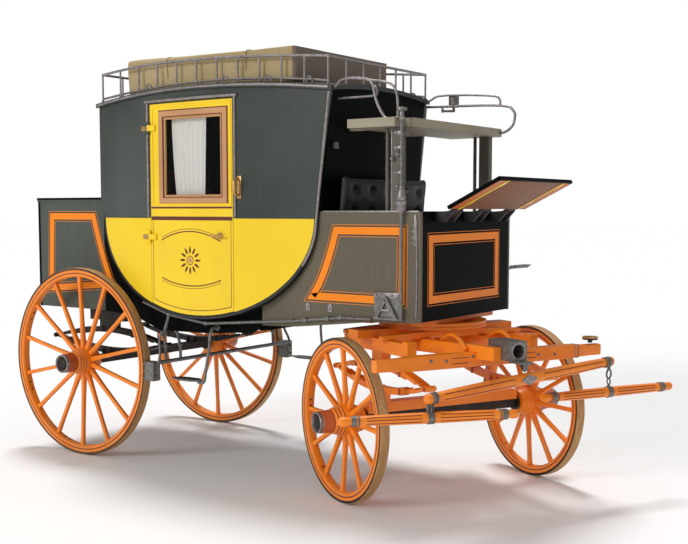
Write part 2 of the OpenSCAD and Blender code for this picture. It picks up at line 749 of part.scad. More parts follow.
// ---------- rails, lamp and brake at the driver's box ----------
module grab_rails() {
    tube_r = 8.5;
    thin_r = 7;
    y = 550;
    // both rails start from the roof's front edge, near its corner
    root_x = cabin_front + roof_over + bedding;
    root_y = bulge_y(cabin_front) - 15;
    root = [root_x, root_y, roof_z(root_x, root_y) + roof_t / 2];
    root_bend = root + [28, 0, 0];
    hoop_foot_z = canopy_top + bedding;
    color("silver") in_frame() {
        // left side: two long rails that run forward over the canopy
        tube([root, root_bend, [2108, y, 2447], [2535, y, 2424],
            [2572, y, 2396], [2572, y, 2359.6]], thin_r);
        tube([[cabin_front + 0.5, y, 2380], [2612, y, 2358.2], [2666, y, 2330], [2684, y, 2268],
            [2656, y, 2208], [2610, y, 2184], [canopy_front + bedding, y, 2184]], tube_r);
        // right side: two short hoops beside the step up to the roof
        mirror([0, 1, 0]) {
            tube([root, root_bend, [2112, y, 2449], [2290, y, 2442],
                [2330, y, 2414], [2342, y, 2350], [2374, y, 2276], [2416, y, 2244],
                [2416, y, hoop_foot_z]], tube_r);
            tube([[2240, y, 2444], [2300, y - 30, 2436], [2390, y - 30, 2424], [2448, y - 30, 2394],
                [2480, y - 30, 2336], [2480, y - 30, hoop_foot_z]], thin_r);
        }
    }
}
module lamp_socket() {
    x = 2208;
    y = 596;
    low = 2372;
    color("gray") in_frame() {
        difference() {
            translate([x, y, low]) cylinder(h = 74, r = 34, $fn = 64);
            translate([x, y, low + 12]) cylinder(h = 74, r = 27, $fn = 64);
        }
        translate([x, y, low - 30]) cylinder(h = 31, r = 9, $fn = 48);
        bar([x, y, low - 24], [x - 60, y - 46, low - 24], 8);
        bar([x - 60, y - 46, low - 34], [x - 60, y - 46, low - 6], 8);
    }
}
module brake_spindle() {
    x = 2540;
    y = -box_half - 26;
    color("silver") in_frame() {
        bar([x, y, box_low + 10], [x, y, 2250], 10);
        translate([x, y, 2249]) cylinder(h = 16, r = 30, $fn = 48);
        translate([x, y, 1710]) cylinder(h = 110, r = 17, $fn = 48);
        for (z = [2120, 1800]) block([post_x + 70, y - 12, z - 8], [x + 12, -post_y - 10, z + 8]);
        // the crank plate at its foot
        block([2346, -box_half - 8, 1066], [2530, -box_half, 1226]);
        for (s = [-1, 1]) bar([2430, y + 12, 1200], [2430 + s * 72, y + 12, 1078], 11);
        bar([2346, y + 12, 1074], [2520, y + 12, 1074], 11);
        bar([2430, y, 1196], [2430, -box_half, 1196], 11);
    }
}
module brake_rod() {
    rod_r = 9;
    lug_r = 14;
    link_r = 10;
    beam_half = 690;
    function rod_y(x) = lookup(x, [for (p = brake_path) [p[0], p[1]]]);
    function rod_z(x) = lookup(x, [for (p = brake_path) [p[0], p[2]]]);
    color("silver") in_frame() {
        tube(brake_path, rod_r);
        // clips tie the rod to the sides
        for (x = [560, 1190])
            bar([x, rod_y(x), rod_z(x)], [x, -hind_boot_half - bedding, rod_z(x)], 7);
        for (x = [1864, 2028])
            bar([x, rod_y(x) - rod_r - 4, rod_z(x)], [x, -box_half, rod_z(x)], lug_r);
        // links down to the beam that joins both shoes
        tube([[750, brake_y, 1006], [712, -612, 884], [728, -618, 800], [beam_x, -624, beam_z]], link_r);
        bar([beam_x, -beam_half, beam_z], [beam_x, beam_half, beam_z], 13);
        both_sides() tube([[700, -stay_y, 920], [740, -stay_y, 800], [beam_x, -stay_y, beam_z]], link_r);
    }
}
module brake_shoes() {
    shoe_gap = 8;
    color("dimgray") in_frame() both_sides() difference() {
        block([rear_wheel_r - 40, -rear_track / 2 - 2, 578],
            [rear_wheel_r + 81.7, -rear_track / 2 + rim_w + 2, 704]);
        translate([0, 0, rear_wheel_r]) rotate([90, 0, 0])
            cylinder(h = far, r = rear_wheel_r + shoe_gap, center = true, $fn = 128);
    }
}
module steps() {
    tread_rear = 800;
    tread_front = 1080;
    tread_top = 608;
    tread_t = 12;
    tread_y = -640;
    stem_r = 11;
    root = [1112, -hind_boot_half, 940];
    knee = root + [0, -58, 0];
    toe = [tread_front + stem_r + 3, tread_y, tread_top - tread_t - 6];
    peg_z = 1322;
    peg_in = 120;
    peg_out = 330;
    color("gray") in_frame() {
        both_sides() {
            bar(root, knee, stem_r);
            translate(knee) sphere(r = stem_r * 1.4, $fn = 32);
            bar(knee + 0.6 * stem_r * (toe - knee) / norm(toe - knee), toe, stem_r);
            block([tread_rear, tread_y - 50, tread_top - tread_t], [tread_front, tread_y + 60, tread_top]);
            // the stem stands clear of the tread on a foot below it
            block([tread_front - 14, tread_y - 16, tread_top - 2 * tread_t],
                [toe[0] + stem_r + 3, tread_y + 16, tread_top - tread_t]);
        }
        // a foot peg on the left side of the driver's box
        bar([2625, box_half, peg_z], [2625, box_half + peg_out, peg_z], 9);
        block([2592, box_half + peg_in, peg_z + 4], [2652, box_half + peg_out, peg_z + 14]);
    }
}

// ---------- rear running gear ----------
module rear_axle() { color("dimgray") in_frame() translate([0, 0, rear_wheel_r]) axle(rear_track); }
module rear_springs() {
    half = 560;
    rise = 92;
    low = rear_wheel_r + axle_half;
    mid = low + rise + 4;
    color("black") in_frame() both_sides() translate([0, -spring_v, 0]) {
        translate([0, 0, mid]) elliptic_spring(half, rise, 3);
        block([-60, -35, low], [60, 35, mid - rise + 4]);
        block([-170, -35, mid + rise + 50], [190, 35, hind_boot_low]);
        block([-70, -35, mid + rise - 4], [70, 35, mid + rise + 51]);
    }
}

// ---------- fore-carriage ----------
module upper_turntable() {
    color("darkorange") in_frame() translate([king_x, 0, 0]) {
        difference() {
            translate([0, 0, turntable_z]) cylinder(h = plate_t, r = turntable_r, $fn = 128);
            translate([0, 0, turntable_z - 1])
                cylinder(h = plate_t + 2, r = turntable_r - ring_w, $fn = 128);
        }
        for (u = [-190, 150]) block([u - 35, -440, turntable_z + plate_t - 1], [u + 35, 440, box_low]);
        block([-35, -turntable_r + 10, turntable_z], [35, turntable_r - 10, turntable_z + plate_t + 6]);
        translate([0, 0, 880]) cylinder(h = 150, r = 20, $fn = 48);
    }
}
module lower_turntable() {
    color("darkorange") on_king_pin() {
        difference() {
            union() {
                difference() {
                    translate([0, 0, turntable_z - plate_t - 2])
                        cylinder(h = plate_t, r = turntable_r, $fn = 128);
                    translate([0, 0, turntable_z - plate_t - 3])
                        cylinder(h = plate_t + 2, r = turntable_r - ring_w, $fn = 128);
                }
                block([-60, -560, futchell_z + futchell_h], [60, 560, turntable_z - plate_t - 2]);
            }
            translate([0, 0, 800]) cylinder(h = 300, r = 20 + running, $fn = 48);
        }
    }
}
module futchells() {
    top = futchell_z + futchell_h;
    color("darkorange") on_king_pin() difference() {
        union() {
            both_sides() {
                translate([0, 0, futchell_z]) linear_extrude(futchell_h)
                    polygon([[-380, -300], [-380, -240], [100, -200], [780, -62],
                        [780, -112], [100, -262]]);
                block([axle_u - 340, -spring_v - 30, futchell_z], [axle_u + 340, -spring_v + 30, top]);
            }
            block([-60, -spring_v, futchell_z], [60, -25, top]);
            block([-60, 25, futchell_z], [60, spring_v, top]);
            block([-345, -spring_v, futchell_z + 10], [-295, spring_v, top - 10]);
        }
        // the timbers are notched over the splinter bar
        block([splinter_u - splinter_w / 2, -far, 0],
            [splinter_u + splinter_w / 2, far, splinter_z + splinter_h / 2]);
    }
}
module front_springs() {
    low = front_wheel_r + axle_half + axle_bed_h;
    mid = (low + futchell_z) / 2;
    rise = 92;
    color("orangered") on_king_pin() both_sides() translate([axle_u, -spring_v, 0]) {
        translate([0, 0, mid]) elliptic_spring(520, rise, 3);
        block([-55, -32, low], [55, 32, mid - rise + 4]);
        block([-55, -32, mid + rise - 4], [55, 32, futchell_z]);
    }
}
module front_axle() {
    color("dimgray") on_king_pin() translate([axle_u, 0, front_wheel_r]) axle(front_track);
}
module axle_bed() {
    color("darkorange") on_king_pin()
        block([axle_u - 42, -540, front_wheel_r + axle_half],
            [axle_u + 42, 540, front_wheel_r + axle_half + axle_bed_h]);
}
module splinter_bar() {
    half_h = splinter_h / 2;
    color("darkorange") on_king_pin()
        block([splinter_u - splinter_w / 2, -splinter_half, splinter_z - half_h],
            [splinter_u + splinter_w / 2, splinter_half, splinter_z + half_h]);
}
module pole_socket() {
    depth = 200;
    x0 = splinter_u + splinter_w / 2 + 1;
    color("dimgray") on_king_pin() difference() {
        union() {
            block([x0, -58, socket_z - 54], [x0 + depth, 58, socket_z + 54]);
            // an arm under its mouth carries the evener's pin
            block([x0 + 150, -28, socket_z - 66], [evener_place[0] + 26, 44, socket_z - 52]);
            translate([evener_place[0], evener_place[1], saddle_top + 0.3])
                cylinder(h = socket_z - 60 - saddle_top, r = 15, $fn = 48);
        }
        translate([x0 + 30, 0, socket_z]) rotate([0, 90, 0]) cylinder(h = depth, r = pole_r, $fn = 64);
    }
}
module mounting_disc() {
    foot = splinter_z + splinter_h / 2;
    color("gray") on_king_pin() translate([splinter_u, 718, foot]) {
        cylinder(h = 20, r = 14, $fn = 48);
        translate([0, 0, 18]) cylinder(h = 12, r = 46, $fn = 64);
    }
}
module at_evener() {
    on_king_pin() translate(evener_place) rotate([evener_roll, 0, evener_yaw]) children();
}
module evener() {
    color("darkorange") {
        at_evener() rotate([90, 0, 0]) cylinder(h = 2 * evener_half, r = evener_r, center = true, $fn = 48);
        // the saddle that hangs on the pin below the pole socket
        on_king_pin() translate([evener_place[0], evener_place[1], evener_place[2]])
            cylinder(h = saddle_top - evener_place[2], r = 26, $fn = 48);
    }
}
// Underside of the evener above a point v
function evener_low(v) = evener_place[2] + (v - evener_place[1]) * tan(evener_roll) / cos(evener_yaw)
    - evener_r / cos(evener_roll);
module swingletree(place) {
    link_r = 12;
    link_gap = 0.3;
    color("darkorange") on_king_pin() translate([place[0], place[1], place[2]]) {
        rotate([0, 0, place[3]]) rotate([90, 0, 0])
            cylinder(h = 2 * swingletree_half, r = swingletree_r, center = true, $fn = 48);
        cylinder(h = evener_low(place[1] - link_r) - link_gap - place[2], r = link_r, $fn = 32);
    }
}
module right_swingletree() { swingletree(right_swing); }
module left_swingletree() { swingletree(left_swing); }

cabin_floor();
right_side_panel();
left_side_panel();
front_wall();
rear_wall();
roof();
right_door();
left_door();
right_door_glass();
left_door_glass();
right_door_lever();
left_door_lever();
rear_seat();
front_seat();
hind_boot();
boot_door();
right_quarter_panel();
left_quarter_panel();
front_panel();
driver_box();
driver_cushion();
canopy();
canopy_posts();
knee_flap();
flap_brackets();
gallery_rail();
luggage_box();
grab_rails();
lamp_socket();
underframe();
rear_springs();
rear_axle();
upper_turntable();
brake_spindle();
brake_rod();
brake_shoes();
steps();
front_axle();
axle_bed();
front_springs();
lower_turntable();
futchells();
splinter_bar();
pole_socket();
mounting_disc();
evener();
right_swingletree();
left_swingletree();
rear_right_wheel();
rear_left_wheel();
front_right_wheel();
front_left_wheel();
rear_right_tyre();
rear_left_tyre();
front_right_tyre();
front_left_tyre();
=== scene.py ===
"""A horse-drawn mail coach: painted body, spoked wheels, fore-carriage and fittings."""
import bpy, bmesh, math, json
from mathutils import Vector, Matrix, noise

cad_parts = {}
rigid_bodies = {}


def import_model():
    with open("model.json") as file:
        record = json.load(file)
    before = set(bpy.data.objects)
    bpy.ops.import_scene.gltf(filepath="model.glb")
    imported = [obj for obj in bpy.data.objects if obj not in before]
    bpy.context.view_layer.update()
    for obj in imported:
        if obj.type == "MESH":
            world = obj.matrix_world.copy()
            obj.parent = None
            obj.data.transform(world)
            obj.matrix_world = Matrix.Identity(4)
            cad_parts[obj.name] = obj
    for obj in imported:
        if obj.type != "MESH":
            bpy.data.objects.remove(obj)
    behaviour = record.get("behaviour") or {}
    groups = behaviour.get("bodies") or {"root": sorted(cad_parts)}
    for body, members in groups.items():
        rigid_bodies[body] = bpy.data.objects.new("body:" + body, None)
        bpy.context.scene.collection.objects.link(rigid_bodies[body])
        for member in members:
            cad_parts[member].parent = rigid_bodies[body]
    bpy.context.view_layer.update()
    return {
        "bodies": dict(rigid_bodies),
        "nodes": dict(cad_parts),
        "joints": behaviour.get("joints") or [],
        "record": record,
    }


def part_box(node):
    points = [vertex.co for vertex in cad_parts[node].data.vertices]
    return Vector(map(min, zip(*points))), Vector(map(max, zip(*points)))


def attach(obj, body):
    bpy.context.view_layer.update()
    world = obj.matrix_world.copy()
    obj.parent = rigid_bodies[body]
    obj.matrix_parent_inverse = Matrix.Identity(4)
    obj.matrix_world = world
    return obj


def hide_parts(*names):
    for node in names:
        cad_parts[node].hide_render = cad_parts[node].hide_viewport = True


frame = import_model()
nodes = frame["nodes"]


def middle(node):
    low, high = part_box(node)
    return (low + high) / 2


# ---------- the two working frames, in metres ----------
# coach: x from the rear axle, y from the middle, z from the ground.  fore: u forward of the king pin.
axle_place = middle("rear_axle")
COACH = Matrix.Translation((axle_place.x, axle_place.y, 0))
pin_place = middle("upper_turntable")
across = middle("front_left_tyre") - middle("front_right_tyre")
STEER = math.atan2(-across.x, across.y)
FORE = Matrix.Translation((pin_place.x, pin_place.y, 0)) @ Matrix.Rotation(STEER, 4, "Z")
MIRROR = Matrix.Scale(-1, 4, (0, 1, 0))

# ---------- camera ----------
lens_data = bpy.data.cameras.new("studio_camera")
camera = bpy.data.objects.new("studio_camera", lens_data)
bpy.context.scene.collection.objects.link(camera)
bpy.context.scene.camera = camera
YAW, PITCH = math.radians(35.368), math.radians(4.873)
gaze = Vector((-math.sin(YAW) * math.cos(PITCH), math.cos(YAW) * math.cos(PITCH), -math.sin(PITCH)))
camera.location = COACH @ Vector((5.784, -5.697, 1.699))
camera.rotation_mode = "QUATERNION"
camera.rotation_quaternion = gaze.to_track_quat("-Z", "Y")
lens_data.lens = 56.31
lens_data.sensor_width = 36
lens_data.shift_y = 0.0427
lens_data.clip_end = 200


# ---------- finishes ----------
class Shade:
    """A number that varies over a surface."""

    def __init__(self, finish, socket):
        self.finish, self.socket = finish, socket

    def math(self, operation, *values):
        return self.finish.node("ShaderNodeMath", {"operation": operation}, *values)

    def __add__(self, other): return self.math("ADD", self, other)
    def __radd__(self, other): return self.math("ADD", other, self)
    def __sub__(self, other): return self.math("SUBTRACT", self, other)
    def __rsub__(self, other): return self.math("SUBTRACT", other, self)
    def __mul__(self, other): return self.math("MULTIPLY", self, other)
    def __rmul__(self, other): return self.math("MULTIPLY", other, self)
    def __gt__(self, other): return self.math("GREATER_THAN", self, other)
    def __lt__(self, other): return self.math("LESS_THAN", self, other)
    def smooth(self, low, high):
        return self.finish.node("ShaderNodeMapRange", {"interpolation_type": "SMOOTHSTEP"}, self, low, high)
    def sine(self): return self.math("SINE", self)
    def size(self): return self.math("ABSOLUTE", self)


class Finish:
    """One procedural material."""

    def __init__(self, name):
        self.material = bpy.data.materials.new(name)
        self.material.use_nodes = True
        self.tree = self.material.node_tree
        self.tree.nodes.clear()
        self.shader = self.tree.nodes.new("ShaderNodeBsdfPrincipled")
        output = self.tree.nodes.new("ShaderNodeOutputMaterial")
        self.tree.links.new(self.shader.outputs[0], output.inputs[0])
        self.place = self.tree.nodes.new("ShaderNodeTexCoord").outputs["Object"]
        split = self.node("ShaderNodeSeparateXYZ", {}, self.place).socket.node
        self.x, self.y, self.z = (Shade(self, s) for s in split.outputs)

    def set(self, socket, value):
        if isinstance(value, Shade):
            value = value.socket
        if isinstance(value, bpy.types.NodeSocket):
            self.tree.links.new(value, socket)
        else:
            socket.default_value = value

    def node(self, kind, settings, *values, **named):
        made = self.tree.nodes.new(kind)
        for key, value in settings.items():
            setattr(made, key, value)
        for socket, value in zip(made.inputs, values):
            self.set(socket, value)
        for key, value in named.items():
            self.set(made.inputs[key], value)
        return Shade(self, made.outputs[0])

    def noise(self, scale, detail=3, stretch=(1, 1, 1), roughness=0.5):
        place = self.node("ShaderNodeMapping", {}, self.place, Scale=stretch)
        return self.node("ShaderNodeTexNoise", {}, Vector=place, Scale=scale, Detail=detail,
                         Roughness=roughness)

    def cells(self, scale, stretch=(1, 1, 1)):
        place = self.node("ShaderNodeMapping", {}, self.place, Scale=stretch)
        return self.node("ShaderNodeTexVoronoi", {}, Vector=place, Scale=scale)

    def blend(self, factor, first, second):
        """A colour between two colours."""
        made = self.tree.nodes.new("ShaderNodeMix")
        made.data_type = "RGBA"
        for socket, value in ((made.inputs[0], factor), (made.inputs[6], first), (made.inputs[7], second)):
            if isinstance(value, tuple):
                value = (*value, 1)
            self.set(socket, value)
        return Shade(self, made.outputs[2])

    def finish(self, colour, roughness, bump=None, depth=0.001, **fixed):
        self.set(self.shader.inputs["Base Color"], (*colour, 1) if isinstance(colour, tuple) else colour)
        self.set(self.shader.inputs["Roughness"], roughness)
        for key, value in fixed.items():
            self.set(self.shader.inputs[key.replace("_", " ")], value)
        if bump is not None:
            self.set(self.shader.inputs["Normal"],
                     self.node("ShaderNodeBump", {}, Height=bump, Distance=depth, Strength=1.0))
        return self.material


def tint(red, green, blue):
    """A screen colour as the shader's linear one."""
    return tuple(((c / 255 + 0.055) / 1.055) ** 2.4 if c > 10 else c / 3294 for c in (red, green, blue))


def shade_of(colour, factor):
    return tuple(c * factor for c in colour)


def coach_paint(name, colour, rough=0.34, coat=0.15, wear=0.5, mottle=0.12, shine=0.22):
    """Oil paint on boards: brush marks, faint mottling, dust low down and rain streaks."""
    f = Finish(name)
    cloud = f.noise(2.3, 4)
    brush = f.noise(9, 3, (1, 1, 14))
    streak = f.noise(7, 2, (9, 9, 0.6)).smooth(0.52, 0.78)
    base = f.blend(cloud.smooth(0.3, 0.7), shade_of(colour, 1 - mottle), shade_of(colour, 1 + mottle))
    base = f.blend(streak * (0.16 * wear), base, tint(150, 140, 122))
    dust = (1.25 - f.z).smooth(0, 1.1) * f.noise(5, 4).smooth(0.3, 0.75)
    base = f.blend(dust * (0.3 * wear), base, tint(150, 132, 104))
    return f.finish(base, rough + 0.2 * cloud + 0.25 * dust, brush * 0.5 + f.noise(160, 2) * 0.25, 0.0007,
                    Coat_Weight=coat, Coat_Roughness=0.25, Specular_IOR_Level=shine)


ORANGE = tint(249, 137, 14)


def wheelwright_orange(name, colour=ORANGE, shadow=tint(206, 92, 28)):
    """Orange oil paint on ash, worn to brown at knocks and dull with road dust near the ground."""
    f = Finish(name)
    cloud = f.noise(6, 4)
    base = f.blend(cloud.smooth(0.35, 0.8), colour, f.blend(0.35, colour, shadow))
    knocks = f.noise(34, 3, (1, 1, 1), 0.6).smooth(0.66, 0.74)
    base = f.blend(knocks * 0.5, base, tint(150, 62, 30))
    dust = (0.5 - f.z).smooth(0, 0.5) * f.noise(9, 4).smooth(0.35, 0.8)
    base = f.blend(dust * 0.35, base, tint(178, 140, 96))
    grain = f.noise(26, 3, (1, 1, 5))
    return f.finish(base, 0.36 + 0.18 * cloud + 0.25 * dust, grain - knocks * 0.6, 0.0008,
                    Coat_Weight=0.12, Coat_Roughness=0.3)


def forged_iron(name, colour, metal=0.75, rough=0.45, rust=0.25):
    """Hammered iron with worn highlights and a little rust."""
    f = Finish(name)
    scale = f.noise(45, 4)
    patch = f.noise(8, 4).smooth(0.5, 0.75)
    base = f.blend(scale.smooth(0.3, 0.75), shade_of(colour, 0.72), shade_of(colour, 1.2))
    base = f.blend(patch * rust, base, tint(92, 58, 40))
    return f.finish(base, rough + 0.22 * scale - 0.05, scale + f.cells(60) * 0.4, 0.0009,
                    Metallic=metal - patch * (rust * metal))


def planks(name, colour, width=0.13):
    """Boards with gaps, grain along their length and some dirt in the joints."""
    f = Finish(name)
    gap = (f.y * (math.pi / width)).sine().size() < 0.035
    grain = f.noise(5, 5, (1, 16, 16), 0.6)
    base = f.blend(grain.smooth(0.3, 0.75), shade_of(colour, 0.7), shade_of(colour, 1.25))
    base = f.blend(gap * 0.8, base, shade_of(colour, 0.15))
    return f.finish(base, 0.55 + 0.2 * grain, grain - gap * 2, 0.0012)


def woven(name, colour, threads=420, rough=0.9, sheen=0.25, dirt=0.1):
    """Cloth: a plain weave with slight colour change and dirt."""
    f = Finish(name)
    warp = (f.x * threads).sine() * 0.5 + (f.y * threads).sine() * 0.5
    weft = (f.z * threads).sine()
    cloud = f.noise(3.5, 5)
    base = f.blend(cloud.smooth(0.3, 0.75), shade_of(colour, 1 - dirt), shade_of(colour, 1 + dirt * 0.5))
    base = f.blend((warp * weft).smooth(-1, 1) * 0.12, base, shade_of(colour, 0.55))
    return f.finish(base, rough, warp * weft + f.noise(40, 4) * 1.5, 0.0005,
                    Sheen_Weight=sheen, Sheen_Roughness=0.5)


YELLOW = tint(246, 208, 38)
BROWN = tint(98, 48, 44)
yellow_paint = coach_paint("yellow_gloss", YELLOW, 0.3, 0.25, 0.35, 0.05)
dark_paint = coach_paint("dark_body", tint(60, 66, 61), 0.34, 0.1, 0.5, 0.16)
olive_paint = coach_paint("olive_side", tint(100, 92, 76), 0.42, 0.1, 0.5, 0.1)
boot_paint = coach_paint("boot_green", tint(76, 82, 75), 0.4, 0.12, 0.5, 0.08)
black_paint = coach_paint("black_gloss", tint(7, 11, 10), 0.34, 0.0, 0.04, 0.25, 0.03)
grey_paint = coach_paint("canopy_grey", tint(158, 150, 130), 0.5, 0.05, 0.6, 0.1)
post_paint = coach_paint("post_grey", tint(98, 94, 86), 0.5, 0.05, 0.6, 0.1)
orange_line = coach_paint("line_orange", ORANGE, 0.38, 0.15, 0.15, 0.05)
brown_line = coach_paint("line_brown", BROWN, 0.4, 0.1, 0.1, 0.08)
frame_brown = coach_paint("window_brown", tint(192, 142, 100), 0.38, 0.2, 0.2, 0.12)
red_brown = coach_paint("nave_red", tint(184, 84, 36), 0.35, 0.25, 0.4, 0.2)
orange_wood = wheelwright_orange("orange_ash")
bright_iron = forged_iron("bright_iron", tint(150, 143, 142), 0.7, 0.36, 0.2)
grey_iron = forged_iron("grey_iron", tint(122, 121, 117), 0.6, 0.45, 0.25)
dark_iron = forged_iron("dark_iron", tint(46, 43, 42), 0.55, 0.45, 0.3)
old_brass = forged_iron("old_brass", tint(206, 164, 104), 0.7, 0.3, 0.1)
floor_boards = planks("floor_boards", tint(120, 84, 56))
wine_cloth = woven("wine_cloth", tint(128, 38, 36), 520, 0.85, 0.4)
curtain_cloth = woven("curtain_cloth", tint(252, 250, 242), 900, 0.9, 0.2, 0.05)
flap_wood = planks("flap_wood", tint(130, 84, 54), 0.16)


def tread_finish():
    f = Finish("worn_tread")
    run = f.noise(14, 4, (1, 7, 1))
    base = f.blend(run.smooth(0.35, 0.7), tint(172, 130, 84), tint(196, 152, 100))
    base = f.blend(f.noise(70, 3).smooth(0.62, 0.75) * 0.5, base, tint(110, 92, 74))
    return f.finish(base, 0.55 + 0.2 * run, run + f.noise(90, 3) * 0.6, 0.0008, Metallic=0.15)


def canvas_finish():
    """Waxed canvas over a box: a weave, long creases with painted shade along them, and painted shade on the
    front end.
    """
    f = Finish("tan_canvas")
    end = middle("luggage_box").x + 0.7
    crease = f.noise(3.2, 3, (0.5, 1.6, 2.2), 0.6)
    shade = f.noise(1.6, 4)
    base = f.blend(shade.smooth(0.3, 0.7), tint(176, 154, 110), tint(190, 169, 124))
    # painted shade: the cover is drawn darker along its creases
    base = f.blend(crease.smooth(0.6, 0.8) * 0.25, base, tint(144, 122, 87))
    # painted shade: the cover's front end is drawn darker, standing in for the shade on that face
    base = f.blend((f.x - end).smooth(0, 0.004), base, tint(126, 110, 98))
    weave = (f.x * 1500).sine() * (f.z * 1500).sine()
    return f.finish(base, 0.85, crease * 3 + weave * 0.12 + f.noise(30, 3) * 0.4, 0.003, Sheen_Weight=0.15)


def pane_finish():
    f = Finish("clear_pane")
    smear = f.noise(12, 3, (1, 1, 3)).smooth(0.5, 0.8)
    return f.finish((0.02, 0.025, 0.024), 0.04 + 0.1 * smear, f.noise(4, 2), 0.0004, Alpha=0.1,
                    Specular_IOR_Level=0.2)


def leather_finish():
    f = Finish("black_leather")
    pebble = f.cells(260)
    creases = f.noise(12, 4, (1, 2, 1))
    base = f.blend(creases.smooth(0.4, 0.7), tint(20, 17, 15), tint(34, 29, 26))
    return f.finish(base, 0.42 + 0.2 * creases, pebble * 0.5 + creases, 0.0008, Coat_Weight=0.1)


worn_tread = tread_finish()
tan_canvas = canvas_finish()
clear_pane = pane_finish()
black_leather = leather_finish()


def body_finish(name, upper, lower, edge):
    """The body's two colours meet on the belt line."""
    f = Finish(name)
    cloud = f.noise(1.7, 4)
    bloom = f.noise(0.9, 2, (1, 1, 0.8)).smooth(0.45, 0.75)
    top = f.blend(cloud.smooth(0.3, 0.7), shade_of(upper, 0.85), shade_of(upper, 1.12))
    top = f.blend(bloom * 0.25, top, tint(118, 122, 118))
    low = f.blend(cloud.smooth(0.35, 0.7), shade_of(lower, 0.97), shade_of(lower, 1.03))
    base = f.blend(f.z > edge, low, top)
    streak = f.noise(8, 2, (9, 9, 0.5)).smooth(0.55, 0.8)
    base = f.blend(streak * 0.05, base, tint(140, 130, 110))
    return f.finish(base, 0.3 + 0.16 * cloud + 0.06 * streak,
                    f.noise(8, 3, (1, 1, 10)) * 0.5 + f.noise(140, 2) * 0.2,
                    0.0006, Coat_Weight=0.1, Coat_Roughness=0.22, Specular_IOR_Level=0.22)


BELT = 1.645
side_paint = body_finish("two_colour_body", tint(58, 64, 59), YELLOW, BELT)


# ---------- making pieces ----------
def piece(name, mesh, place, body, slot, *materials, stands_for=(), crease=40, turn_out=True):
    """Finishes a bmesh as an object whose place is in its mesh, and rides it on a body."""
    bmesh.ops.remove_doubles(mesh, verts=mesh.verts, dist=1e-6)
    bmesh.ops.transform(mesh, matrix=place, verts=mesh.verts)
    if turn_out:
        bmesh.ops.recalc_face_normals(mesh, faces=mesh.faces)
    data = bpy.data.meshes.new(name)
    mesh.to_mesh(data)
    mesh.free()
    for face in data.polygons:
        face.use_smooth = True
    data.set_sharp_from_angle(angle=math.radians(crease))
    made = bpy.data.objects.new(name, data)
    bpy.context.scene.collection.objects.link(made)
    for material in materials:
        data.materials.append(material)
    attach(made, body)
    if stands_for:
        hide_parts(*stands_for)
    return made


def absorb(mesh, other, matrix=None):
    """Adds one bmesh to another, moved by a matrix."""
    if matrix is not None:
        bmesh.ops.transform(other, matrix=matrix, verts=other.verts)
        if matrix.determinant() < 0:
            bmesh.ops.reverse_faces(other, faces=other.faces)
    held = bpy.data.meshes.new("held")
    other.to_mesh(held)
    other.free()
    mesh.from_mesh(held)
    bpy.data.meshes.remove(held)
    return mesh


def turned(mesh, degrees, axis):
    """Turns a bmesh about an axis through the origin."""
    bmesh.ops.rotate(mesh, verts=mesh.verts, cent=(0, 0, 0),
                     matrix=Matrix.Rotation(math.radians(degrees), 3, axis))
    return mesh


def moved(mesh, step):
    bmesh.ops.translate(mesh, vec=step, verts=mesh.verts)
    return mesh


def placed(mesh, matrix):
    bmesh.ops.transform(mesh, matrix=matrix, verts=mesh.verts)
    return mesh


def sliced(mesh, spot, normal):
    """Adds edges where a plane cuts the mesh, so that it can bend there."""
    bmesh.ops.bisect_plane(mesh, geom=mesh.verts[:] + mesh.edges[:] + mesh.faces[:], plane_co=spot,
                           plane_no=normal)


def thickened(mesh, proud):
    """Raises a copy of a flat mesh, which closes it into a thin solid."""
    raised = bmesh.ops.extrude_face_region(mesh, geom=list(mesh.faces), use_keep_orig=True)
    for vert in raised["geom"]:
        if isinstance(vert, bmesh.types.BMVert):
            vert.co.z = proud


def board(low, high, edge=0.003, segments=2):
    """A cuboid with softened edges."""
    mesh = bmesh.new()
    bmesh.ops.create_cube(mesh, size=1)
    low, high = Vector(low), Vector(high)
    bmesh.ops.scale(mesh, vec=high - low, verts=mesh.verts)
    moved(mesh, (low + high) / 2)
    if edge:
        bmesh.ops.bevel(mesh, geom=list(mesh.edges), offset=edge, segments=segments, profile=0.5,
                        affect="EDGES", material=-1)
    return mesh


def lathe(profile, steps=48, closed=True):
    """Turns a profile of (radius, height) about Z."""
    mesh = bmesh.new()
    points = [mesh.verts.new((r, 0, h)) for r, h in profile]
    edges = [mesh.edges.new(pair) for pair in zip(points, points[1:])]
    if closed:
        edges.append(mesh.edges.new((points[-1], points[0])))
    bmesh.ops.spin(mesh, geom=points + edges, cent=(0, 0, 0), axis=(0, 0, 1), angle=2 * math.pi,
                   steps=steps, use_merge=True)
    bmesh.ops.remove_doubles(mesh, verts=mesh.verts, dist=1e-6)
    bmesh.ops.recalc_face_normals(mesh, faces=mesh.faces)
    return mesh


def disc_stack(*rings, steps=32):
    """A solid turned about Z from rings of (radius, height), closed at both ends."""
    profile = [(1e-5, rings[0][1]), *rings, (1e-5, rings[-1][1])]
    return lathe(profile, steps, closed=False)


def toward(start, end):
    """The matrix that carries +Z from start towards end."""
    start, end = Vector(start), Vector(end)
    return Matrix.Translation(start) @ (end - start).to_track_quat("Z", "Y").to_matrix().to_4x4()


def rod(start, end, radius, end_radius=None, steps=16):
    length = (Vector(end) - Vector(start)).length
    tip = radius if end_radius is None else end_radius
    soft = min(radius, tip) * 0.2
    made = disc_stack((radius - soft, 0), (radius, soft), (tip, length - soft), (tip - soft, length),
                      steps=steps)
    return placed(made, toward(start, end))


